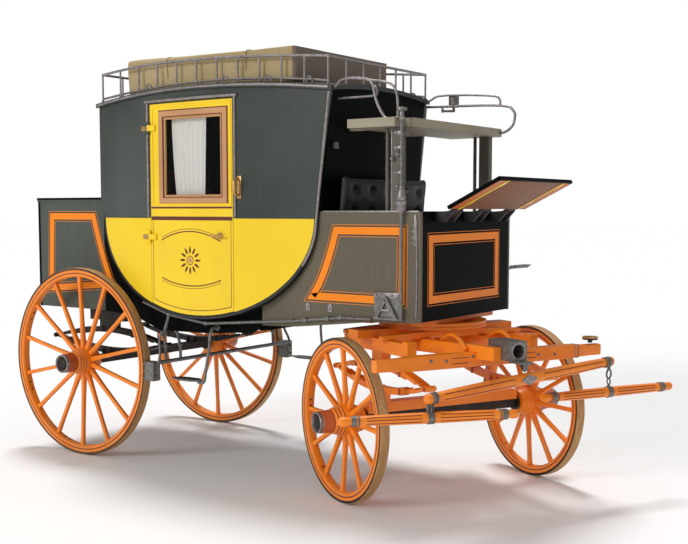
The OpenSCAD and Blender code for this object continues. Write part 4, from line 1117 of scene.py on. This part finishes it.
def strap_ring(y, radius, width):
    """An iron band round a bar that lies along Y."""
    inner, outer, half = radius - 0.001, radius + 0.003, width / 2
    mesh = lathe([(inner, -half), (outer, -half), (outer, half), (inner, half)], 28)
    return moved(turned(mesh, -90, "X"), (0, y, 0))


def link(centre, radius, wire, normal=(1, 0, 0)):
    mesh = lathe([(radius + wire * math.cos(a), wire * math.sin(a))
                  for a in [k * math.pi / 5 for k in range(10)]], 28)
    return placed(mesh, toward(centre, Vector(centre) + Vector(normal)))


def draught_bar(name, place, length, middle_r, end_r, bands, lines):
    """One evener or swingletree: bar, iron bands, painted lines."""
    bar = tapered_bar(length, middle_r, end_r)
    piece(name + "_bar", bar, place, name, "orange_wood", orange_wood, stands_for=[name])
    iron = bmesh.new()
    for y, radius, width in bands:
        absorb(iron, strap_ring(y, radius, width))
    painted = bmesh.new()
    for y0, y1, degrees in lines:
        strip = board((-0.002, y0, -0.0006), (0.002, y1, 0.0006), 0)
        for k in range(1, 12):
            sliced(strip, (0, y0 + (y1 - y0) * k / 12, 0), (0, 1, 0))
        for vert in strip.verts:
            vert.co.z += swell(middle_r, end_r, min(0.88, abs(vert.co.y) * 2 / length))
        absorb(painted, strip, Matrix.Rotation(math.radians(degrees), 4, "Y"))
    piece(name + "_bands", iron, place, name, "grey_iron", grey_iron)
    piece(name + "_lines", painted, place, name, "orange_wood", brown_line)


EVENER = FORE @ Matrix.Translation((0.900, 0.015, 0.778)) @ Matrix.Rotation(math.radians(6.8), 4, "Z") \
    @ Matrix.Rotation(math.radians(3.4), 4, "X")
draught_bar("evener", EVENER, 1.41, 0.0325, 0.027,
            [(-0.665, 0.028, 0.018), (-0.645, 0.028, 0.010), (0.665, 0.028, 0.024), (0.640, 0.028, 0.010)],
            [(*ends, degrees) for degrees in (60, 120) for ends in ((-0.60, -0.10), (0.12, 0.60))])
RIGHT_SWING = FORE @ Matrix.Translation((0.980, -0.655, 0.640)) @ Matrix.Rotation(math.radians(-14.8), 4, "Z")
LEFT_SWING = FORE @ Matrix.Translation((0.820, 0.688, 0.640)) @ Matrix.Rotation(math.radians(-1.6), 4, "Z")
for name, place in (("right_swingletree", RIGHT_SWING), ("left_swingletree", LEFT_SWING)):
    draught_bar(name, place, 0.96, 0.0295, 0.024,
                [(-0.405, 0.0255, 0.026), (-0.38, 0.0255, 0.008), (0.405, 0.0255, 0.026),
                 (0.38, 0.0255, 0.008),
                 (0.0, 0.030, 0.034)],
                [(*ends, degrees) for ends in ((-0.34, -0.05), (0.05, 0.34)) for degrees in (50, 85, 120)])


def swing_links(u, v, low_z=0.640):
    """Two rings between a swingletree and the evener's end, and the eyes that hold them."""
    top = 0.778 + (v - 0.015) * math.tan(math.radians(3.4)) - 0.033
    gap = top - low_z - 0.030
    eye = Vector((u, v, low_z + 0.030))
    parts = [link(eye + Vector((0, 0, gap * 0.28)), 0.017, 0.0042, (0.2, 1, 0)),
             link(eye + Vector((0, 0, gap * 0.66)), 0.026, 0.0055, (1, 0.35, 0)),
             rod(eye + Vector((0, 0, -0.01)), eye + Vector((0, 0, 0.012)), 0.009),
             rod(eye + Vector((0, 0, gap - 0.014)), eye + Vector((0, 0, gap + 0.004)), 0.010)]
    return gathered(*parts)


piece("right_links", swing_links(0.980, -0.655), FORE, "right_swingletree", "grey_iron", grey_iron)
piece("left_links", swing_links(0.820, 0.688), FORE, "left_swingletree", "grey_iron", grey_iron)


SPLINTER_U, SPLINTER_Z = 0.620, 0.865


def splinter():
    """The splinter bar: square in the middle, eight-sided and lighter at the ends."""
    mesh = bmesh.new()
    bmesh.ops.create_cube(mesh, size=1)
    bmesh.ops.scale(mesh, vec=(0.071, 1.556, 0.083), verts=mesh.verts)
    moved(mesh, (SPLINTER_U, 0, SPLINTER_Z))
    for y in (-0.70, -0.62, -0.56, -0.14, 0.14, 0.56, 0.62, 0.70):
        sliced(mesh, (0, y, 0), (0, 1, 0))
    for vert in mesh.verts:
        if abs(vert.co.y) > 0.57:
            share = 0.86 if abs(vert.co.y) < 0.69 else 0.80
            vert.co.x = SPLINTER_U + (vert.co.x - SPLINTER_U) * share
            vert.co.z = SPLINTER_Z + (vert.co.z - SPLINTER_Z) * share
    rails = [e for e in mesh.edges if abs(e.verts[0].co.y - e.verts[1].co.y) > 0.01]
    bmesh.ops.bevel(mesh, geom=rails, offset=0.012, segments=2, profile=0.6, affect="EDGES", material=-1)
    return mesh


piece("splinter_wood", splinter(), FORE, "fore_carriage", "orange_wood", orange_wood,
      stands_for=["splinter_bar"], crease=30)


def splinter_iron():
    parts = []
    for y in (-0.545, -0.520, 0.575, 0.600):
        parts.append(board((SPLINTER_U - 0.0345, y - 0.008, SPLINTER_Z - 0.0405),
                           (SPLINTER_U + 0.0345, y + 0.008, SPLINTER_Z + 0.0405), 0.010))
    parts += [dome((0.655, y, SPLINTER_Z + dz), (1, 0, 0), 0.010, 0.006) for y, dz in
              ((-0.44, 0.010), (-0.34, 0.005), (0.30, 0.0), (0.42, -0.004), (-0.16, 0.02), (0.16, 0.02))]
    return gathered(*parts)


piece("splinter_bands", splinter_iron(), FORE, "fore_carriage", "grey_iron", grey_iron)
splinter_lines = gathered(*[board((0.6550, y0, SPLINTER_Z + dz - 0.0018),
                                  (0.6562, y1, SPLINTER_Z + dz + 0.0018), 0)
                            for y0, y1 in ((-0.30, -0.19), (0.19, 0.28)) for dz in (-0.014, 0.016)])
piece("splinter_lines", splinter_lines, FORE, "fore_carriage", "orange_wood", brown_line)


def fore_timbers():
    """Curved transoms over the axle, and blocks on the springs."""
    parts = []
    for u, z, sag in ((-0.215, 0.967, 0.018), (0.215, 0.967, 0.020)):
        mesh = board((u - 0.035, -0.50, z - 0.020), (u + 0.035, 0.50, z + 0.022), 0)
        for k in range(1, 20):
            sliced(mesh, (0, -0.50 + k * 0.05, 0), (0, 1, 0))
        for vert in mesh.verts:
            t = vert.co.y / 0.50
            vert.co.z += -sag * t * t * (1 if vert.co.z > z else 0.2)
            vert.co.x = u + (vert.co.x - u) * (1 - 0.35 * t * t)
        bmesh.ops.bevel(mesh, geom=[e for e in mesh.edges if e.calc_face_angle(0) > 1], offset=0.006,
                        segments=2,
                        profile=0.5, affect="EDGES", material=-1)
        parts.append(mesh)
    for v in (-0.43, 0.43):
        for u in (-0.20, 0.42):
            parts.append(board((u - 0.028, v - 0.034, 0.930), (u + 0.028, v + 0.034, 0.957), 0.005))
    return gathered(*parts)


piece("fore_transoms", fore_timbers(), FORE, "fore_carriage", "orange_wood", orange_wood, crease=35)


def socket_arch():
    """The curved stay from each futchell to the splinter bar."""
    return gathered(*[bent_tube([(0.36, v, 0.950), (0.44, v, 0.985), (0.53, v, 0.968), (0.60, v, 0.915)],
                                0.011)
                      for v in (-0.17, 0.17)])


piece("socket_arch", socket_arch(), FORE, "fore_carriage", "orange_wood", orange_wood)


mouth = lathe([(0.0385, 0.600), (0.044, 0.600), (0.050, 0.618), (0.050, 0.628), (0.0385, 0.628)], 40)
piece("socket_mouth", moved(turned(mouth, 90, "Y"), (0.230, 0, 0.925)), FORE, "fore_carriage", "grey_iron",
      bright_iron)
hook_plate = plate([(-0.062, 0.0), (0.0, -0.030), (0.062, 0.0), (0.0, 0.030)], lambda a, b,
                   h: (0.0335 + h, a, b), 0.004)
piece("evener_plate", hook_plate, EVENER, "evener", "grey_iron", bright_iron)
hook = bent_tube([(0.846, 0.015, 0.872), (0.864, 0.015, 0.862), (0.868, 0.015, 0.838), (0.880, 0.015, 0.826),
                  (0.898, 0.015, 0.822)], 0.007)
piece("evener_hook", hook, FORE, "fore_carriage", "grey_iron", dark_iron)


def spring_clips(place_u, spring_v, mid, rise, half):
    """Clips and bolts round the leaves of a pair of springs, and the shackle bolts at their eyes."""
    parts = []
    for v in (-spring_v, spring_v):
        for u in (-0.25, 0.25):
            for sign in (1, -1):
                z = mid + sign * (rise * (1 - (u / half) ** 2) - 0.018)
                parts.append(board((place_u + u - 0.012, v - 0.033, z - 0.022),
                                   (place_u + u + 0.012, v + 0.033, z + 0.022)))
        for u in (-half, half):
            parts.append(rod((place_u + u, v - 0.041, mid), (place_u + u, v + 0.041, mid), 0.012))
        for u in (-0.035, 0.035):
            for sign in (1, -1):
                for y in (v - 0.040, v + 0.040):
                    parts.append(rod((place_u + u, y, mid + sign * (rise - 0.034)),
                                     (place_u + u, y, mid + sign * (rise + 0.010)), 0.007))
    return gathered(*parts)


piece("rear_spring_clips", spring_clips(0, 0.430, 0.774, 0.092, 0.560), COACH, "coach", "black_iron",
      dark_iron)
piece("fore_spring_clips", spring_clips(0.108, 0.430, 0.7185, 0.092, 0.520), FORE, "fore_carriage",
      "black_iron", red_brown)
rim = lathe([(0.036, 0.936), (0.0475, 0.936), (0.0485, 0.940), (0.046, 0.9435), (0.036, 0.9415)], 40)
piece("disc_rim", moved(rim, (SPLINTER_U, 0.718, 0)), FORE, "fore_carriage", "brass", old_brass)

# ---------- driver's box: rails, posts, spindle ----------


RAILS = (  # each rail's route, how far its bends reach, and its radius: two on the left, three on the right
    ([(2.0445, 0.530, 2.4152), (2.066, 0.534, 2.418), (2.100, 0.550, 2.4475), (2.535, 0.550, 2.424),
      (2.572, 0.550, 2.408), (2.573, 0.550, 2.362)], 0.018, 0.0070),
    ([(2.029, 0.550, 2.380), (2.618, 0.550, 2.358), (2.672, 0.550, 2.334), (2.684, 0.550, 2.270),
      (2.650, 0.550, 2.205), (2.570, 0.550, 2.184)], 0.030, 0.0085),
    ([(2.0445, -0.530, 2.4152), (2.066, -0.534, 2.418), (2.102, -0.550, 2.4500), (2.290, -0.550, 2.442),
      (2.330, -0.550, 2.420), (2.343, -0.550, 2.350), (2.372, -0.550, 2.276), (2.416, -0.550, 2.215)],
     0.020, 0.0085),
    ([(2.240, -0.550, 2.4447), (2.300, -0.520, 2.436), (2.390, -0.520, 2.424), (2.455, -0.520, 2.400),
      (2.478, -0.520, 2.340), (2.480, -0.520, 2.212)], 0.024, 0.0075),
    ([(2.030, -0.470, 2.352), (2.330, -0.505, 2.352), (2.342, -0.520, 2.365), (2.345, -0.548, 2.400)],
     0.012, 0.0065))


def rails():
    feet = [moved(disc_stack((0.018, 0), (0.018, 0.004), (0.011, 0.010), steps=20), spot)
            for spot in ((2.416, -0.550, 2.214), (2.480, -0.520, 2.214), (2.560, 0.550, 2.1955))]
    return gathered(*[bent_tube(eased(route, reach), radius) for route, reach, radius in RAILS], *feet)


piece("driver_rails", rails(), COACH, "coach", "bright_iron", bright_iron, stands_for=["grab_rails"])


def spindle():
    """The brake spindle: screw, collars, bell, knob and the clasps that hold it to the post."""
    x, y = 2.540, -0.572
    shaft = disc_stack((0.0095, 1.072), (0.0095, 1.672), (0.017, 1.680), (0.027, 1.700), (0.030, 1.712),
                       (0.025, 1.722),
                       (0.031, 1.732), (0.031, 1.744), (0.024, 1.752), (0.028, 1.764), (0.026, 1.782),
                       (0.018, 1.800),
                       (0.016, 1.822), (0.010, 1.830), (0.0095, 2.196), (0.016, 2.202), (0.018, 2.212),
                       (0.013, 2.220),
                       (0.012, 2.244), (0.026, 2.250), (0.031, 2.256), (0.030, 2.262), (0.016, 2.268),
                       steps=32)
    moved(shaft, (x, y, 0))
    parts = [shaft]
    for z in (1.905, 2.045, 2.128):
        parts.append(board((2.500, y - 0.014, z - 0.008), (x + 0.004, y + 0.020, z + 0.008), 0.003))
        parts.append(dome((x - 0.030, y - 0.014, z), (0, -1, 0), 0.010, 0.008))
    return gathered(*parts)


piece("brake_screw", spindle(), COACH, "coach", "grey_iron", bright_iron)


def post_iron():
    """Edge strips, studs and ball bolts on the near post, and the latch on the side panel."""
    y = -0.5455
    parts = [board((x, y, 1.690), (x + 0.006, y + 0.003, 2.160), 0.001) for x in (2.4525, 2.5150)]
    for x, z in ((2.470, 1.985), (2.508, 2.010), (2.508, 1.830)):
        ball = disc_stack((0.004, 0), (0.009, 0.004), (0.0125, 0.012), (0.0125, 0.018), (0.008, 0.026),
                          (0.003, 0.028), steps=20)
        parts.append(placed(ball, toward((x, y, z), (x, y - 1, z))))
    parts.append(board((2.608, -0.5505, 1.496), (2.622, -0.546, 1.669), 0.0015))
    parts += [dome((2.606, -0.5505, z), (0, -1, 0), 0.0085, 0.006) for z in (1.512, 1.545, 1.578, 1.612)]
    parts.append(bent_tube([(2.6255, -0.5485, 1.655), (2.630, -0.5500, 1.4), (2.630, -0.5500, 1.2),
                            (2.6255, -0.5485, 1.085)], 0.005))
    parts.append(board((1.975, -0.549, 1.683), (2.640, -0.540, 1.693), 0.002))
    return gathered(*parts)


piece("post_fittings", post_iron(), COACH, "coach", "bright_iron", bright_iron)


def crank_bracket():
    """The crank's bracket: a plate, an A-shaped frame in front of it, bolts and a nut."""
    y = -0.5545
    parts = [board((2.346, y - 0.004, 1.196), (2.530, y + 0.002, 1.226), 0.002),
             board((2.346, y - 0.004, 1.066), (2.530, y + 0.002, 1.080), 0.002)]
    apex = (2.430, 1.190)
    for s in (-1, 1):
        foot = (2.430 + s * 0.068, 1.080)
        parts.append(ribbon([apex, foot], 0.020, lambda a, b, h: (a, y - 0.004 - h, b), 0.010))
    parts.append(board((2.395, y - 0.014, 1.118), (2.465, y - 0.004, 1.132), 0.002))
    parts += [dome((x, y - 0.004, z), (0, -1, 0), 0.0095, 0.007) for x, z in
              ((2.362, 1.211), (2.392, 1.211), (2.470, 1.211), (2.514, 1.211), (2.360, 1.073),
               (2.516, 1.073), (2.430, 1.196))]
    for x in (1.864, 2.028):
        parts.append(plate([(x - 0.016, 1.092), (x + 0.016, 1.092), (x + 0.016, 1.128), (x, 1.146),
                            (x - 0.016, 1.128)],
                           on_quarter, 0.004))
        parts.append(dome((x, -0.5505, 1.112), (0, -1, 0), 0.007, 0.005))
    return gathered(*parts)


piece("crank_bracket", crank_bracket(), COACH, "coach", "grey_iron", bright_iron)


def shoe_iron():
    """Ribs and bolts on the brake blocks, and the forked links that carry them."""
    parts = []
    y0, y1 = -0.735, -0.669
    for z in (0.594, 0.640, 0.688):
        parts.append(board((0.640, y0, z - 0.006), (0.7335, y1, z + 0.006), 0.002))
    parts.append(board((0.728, y0 + 0.012, 0.590), (0.736, y1 - 0.010, 0.700), 0.002))
    for z in (0.612, 0.664):
        parts.append(rod((0.730, -0.702, z), (0.752, -0.702, z), 0.0085, steps=6))
    parts.append(bent_tube([(0.724, -0.640, 0.900), (0.705, -0.644, 0.850), (0.722, -0.660, 0.790),
                            (0.738, -0.680, 0.735), (0.742, -0.700, 0.680)], 0.009))
    return gathered(*parts)


piece("shoe_iron", both(shoe_iron), COACH, "coach", "grey_iron", grey_iron)


def step_pads():
    """The step's tread: a lozenge plate with raised edges and a ridge, on its forged stem."""
    tread = plate([(0.800, -0.640), (0.900, -0.690), (1.010, -0.688), (1.080, -0.640), (1.010, -0.584),
                   (0.900, -0.580)],
                  lambda a, b, h: (a, b, 0.596 + h), 0.010)
    bmesh.ops.bevel(tread, geom=list(tread.edges), offset=0.002, segments=1, profile=0.5, affect="EDGES",
                    material=-1)
    ridges = [rod((0.86 + 0.03 * k, -0.672, 0.607), (0.86 + 0.03 * k, -0.600, 0.607), 0.003, steps=8)
              for k in range(6)]
    stem = bent_tube([(1.112, -0.5205, 0.940), (1.112, -0.560, 0.941), (1.110, -0.581, 0.925),
                      (1.104, -0.604, 0.800),
                      (1.098, -0.630, 0.660), (1.094, -0.639, 0.603), (1.082, -0.640, 0.590),
                      (1.040, -0.640, 0.591)], 0.0095)
    collar = rod((1.112, -0.5205, 0.940), (1.112, -0.534, 0.940), 0.022)
    return gathered(tread, *ridges, stem, collar)


peg = gathered(bent_tube([(2.625, 0.546, 1.300), (2.625, 0.580, 1.318), (2.625, 0.62, 1.322),
                          (2.625, 0.875, 1.322)], 0.009),
               board((2.594, 0.668, 1.3265), (2.650, 0.875, 1.3355), 0.003))
piece("step_irons", gathered(both(step_pads), peg), COACH, "coach", "grey_iron", grey_iron,
      stands_for=["steps"])


def front_wall_irons():
    """A small grab rod and a latch on the driver's side of the cabin wall."""
    route = [(2.028, 0.02, 2.150), (2.060, 0.02, 2.150), (2.050, 0.02, 1.900), (2.050, 0.12, 1.885),
             (2.010, 0.12, 1.885)]
    return gathered(bent_tube(eased(route, 0.02), 0.006),
                    board((1.992, -0.470, 2.060), (2.016, -0.440, 2.100)))


piece("front_wall_irons", front_wall_irons(), COACH, "coach", "grey_iron", grey_iron)


# ---------- cushions ----------
# how far a cover may swell, the cell it is remeshed to, and how full it is
SWELL, CELL, FILL = 0.014, 0.014, 0.7


def stuffed(mesh, low, high):
    """Swells a cushion as a stuffed cover does, and stops it at its own room."""
    data = bpy.data.meshes.new("held")
    mesh.to_mesh(data)
    mesh.free()
    held = bpy.data.objects.new("held", data)
    bpy.context.scene.collection.objects.link(held)
    cells = held.modifiers.new("cells", "REMESH")
    cells.mode = "VOXEL"
    cells.voxel_size = CELL

    def baked():
        return bpy.data.meshes.new_from_object(held.evaluated_get(bpy.context.evaluated_depsgraph_get()))

    held.data = baked()
    held.modifiers.clear()
    start = [v.co.copy() for v in held.data.vertices]
    cloth = held.modifiers.new("stuffing", "CLOTH")
    cloth.settings.use_pressure = True
    cloth.settings.uniform_pressure_force = 4
    cloth.settings.effector_weights.gravity = 0
    cloth.point_cache.frame_start = 1
    cloth.point_cache.frame_end = 20
    for frame in range(1, 21):
        bpy.context.scene.frame_set(frame)
    swollen = baked()
    held.modifiers.clear()
    bpy.context.scene.frame_set(1)
    for vert, first, last in zip(held.data.vertices, start, swollen.vertices):
        move = last.co - first
        vert.co = first + move * min(1, SWELL / max(move.length, 1e-9))
    smooth = held.modifiers.new("smooth", "SUBSURF")
    smooth.levels = smooth.render_levels = 1
    done = bmesh.new()
    done.from_mesh(baked())
    bpy.data.objects.remove(held)
    for vert in done.verts:
        vert.co = [min(max(c, a), b) for c, a, b in zip(vert.co, low, high)]
    return done


def tufted(mesh, buttons, normal, depth, spread):
    """Draws the cover in round each button."""
    normal = Vector(normal)
    for vert in mesh.verts:
        near = 9
        for spot in buttons:
            off = vert.co - Vector(spot)
            off -= normal * off.dot(normal)
            near = min(near, off.length)
        facing = (vert.co - Vector(buttons[0])).dot(normal)
        if facing > -0.05:
            vert.co -= normal * depth * math.exp(-(near / spread) ** 2)
    return mesh


def cushion(name, low, high, buttons, normal, slot, material, stands_for=(), turn=None, edge=0.03):
    """A buttoned cushion that fills a box, turned by a matrix where it leans."""
    low, high = Vector(low), Vector(high)
    start = board(low + Vector((0.006, 0.006, 0.004)), high - Vector((0.006, 0.006, 0.010)), edge, 3)
    shape = tufted(stuffed(start, low, high), buttons, normal, 0.016, 0.030)
    knobs = [dome(Vector(spot) - Vector(normal) * 0.017, normal, 0.010, 0.006) for spot in buttons]
    place = COACH if turn is None else COACH @ turn
    made = piece(name, shape, place, "coach", slot, material, stands_for=stands_for, crease=180)
    piece(name + "_buttons", gathered(*knobs), place, "coach", slot, material)


def rows(xs, ys, z):
    return [(x, y, z) for x in xs for y in ys]


def leaned(x, z, degrees):
    return Matrix.Translation((x, 0, z)) @ Matrix.Rotation(math.radians(degrees), 4, "Y")


wide = [-0.36, -0.18, 0, 0.18, 0.36]
between = [-0.42, -0.27, -0.09, 0.09, 0.27, 0.42]
cushion("driver_seat_cushion", (1.987, -0.498, 1.4805), (2.343, 0.498, 1.5745),
        rows([2.075, 2.255], wide, 1.5745), (0, 0, 1),
        "leather", black_leather, stands_for=["driver_cushion"])
cushion("driver_back_cushion", (-0.018, -0.488, 0.002), (0.034, 0.488, 0.338),
        [(0.034, y, z) for z in (0.11, 0.24) for y in wide],
        (1, 0, 0), "leather", black_leather, turn=leaned(2.030, 1.5755, 5), edge=0.018)
cushion("rear_seat_cushion", (0.202, -0.488, 1.3955), (0.573, 0.488, 1.4945),
        rows([0.29, 0.47], between, 1.4945), (0, 0, 1),
        "cloth", wine_cloth, stands_for=["rear_seat"])
cushion("rear_back_cushion", (-0.033, -0.478, 0.002), (0.033, 0.478, 0.515),
        [(0.033, y, z) for z in (0.10, 0.24, 0.38) for y in wide],
        (1, 0, 0), "cloth", wine_cloth, turn=leaned(0.186, 1.4965, -2), edge=0.020)
cushion("front_seat_cushion", (1.442, -0.488, 1.3955), (1.820, 0.488, 1.4945),
        rows([1.54, 1.72], between, 1.4945), (0, 0, 1),
        "cloth", wine_cloth, stands_for=["front_seat"])
cushion("front_back_cushion", (-0.033, -0.478, 0.006), (0.033, 0.478, 0.515),
        [(-0.033, y, z) for z in (0.10, 0.24, 0.38) for y in wide],
        (-1, 0, 0), "cloth", wine_cloth, turn=leaned(1.852, 1.4965, 6), edge=0.020)


# ---------- curtains ----------
def curtain(side, body):
    """A white cloth gathered on a rod behind the door's glass, drawn back at one edge."""
    mesh = bmesh.new()
    columns, down = 72, 26
    top, foot = 2.282, 1.792
    lines = []
    for j in range(down + 1):
        v = j / down
        z = top + (foot - top) * v
        left, right = 0.772 + 0.040 * v ** 1.4, 1.085 - 0.012 * v
        line = []
        for i in range(columns + 1):
            u = i / columns
            fold = 0.5 + 0.5 * math.cos(u * 2 * math.pi * 7 + 0.5 * math.sin(3 * v))
            edge_fold = math.exp(-(u / 0.16) ** 2)
            depth = 0.004 + 0.009 * fold * (0.35 + 0.65 * (1 - 0.35 * v)) + 0.012 * edge_fold * fold
            x = left + (right - left) * (u + 0.010 * math.sin(u * 2 * math.pi * 7 + 1))
            line.append(mesh.verts.new((x, side * (bulge(x) - 0.038 - depth), z)))
        lines.append(line)
    for above, below in zip(lines, lines[1:]):
        for k in range(columns):
            mesh.faces.new((above[k], above[k + 1], below[k + 1], below[k]))
    made = piece(body + "_curtain", mesh, COACH, body, "cloth", curtain_cloth, crease=180, turn_out=False)
    pole = bent_tube([(x, side * (bulge(x) - 0.046), 2.286) for x in (0.770, 1.008, 1.250)], 0.005)
    rail = piece(body + "_curtain_rod", pole, COACH, body, "brass", old_brass)


curtain(-1, "right_door")
curtain(1, "left_door")
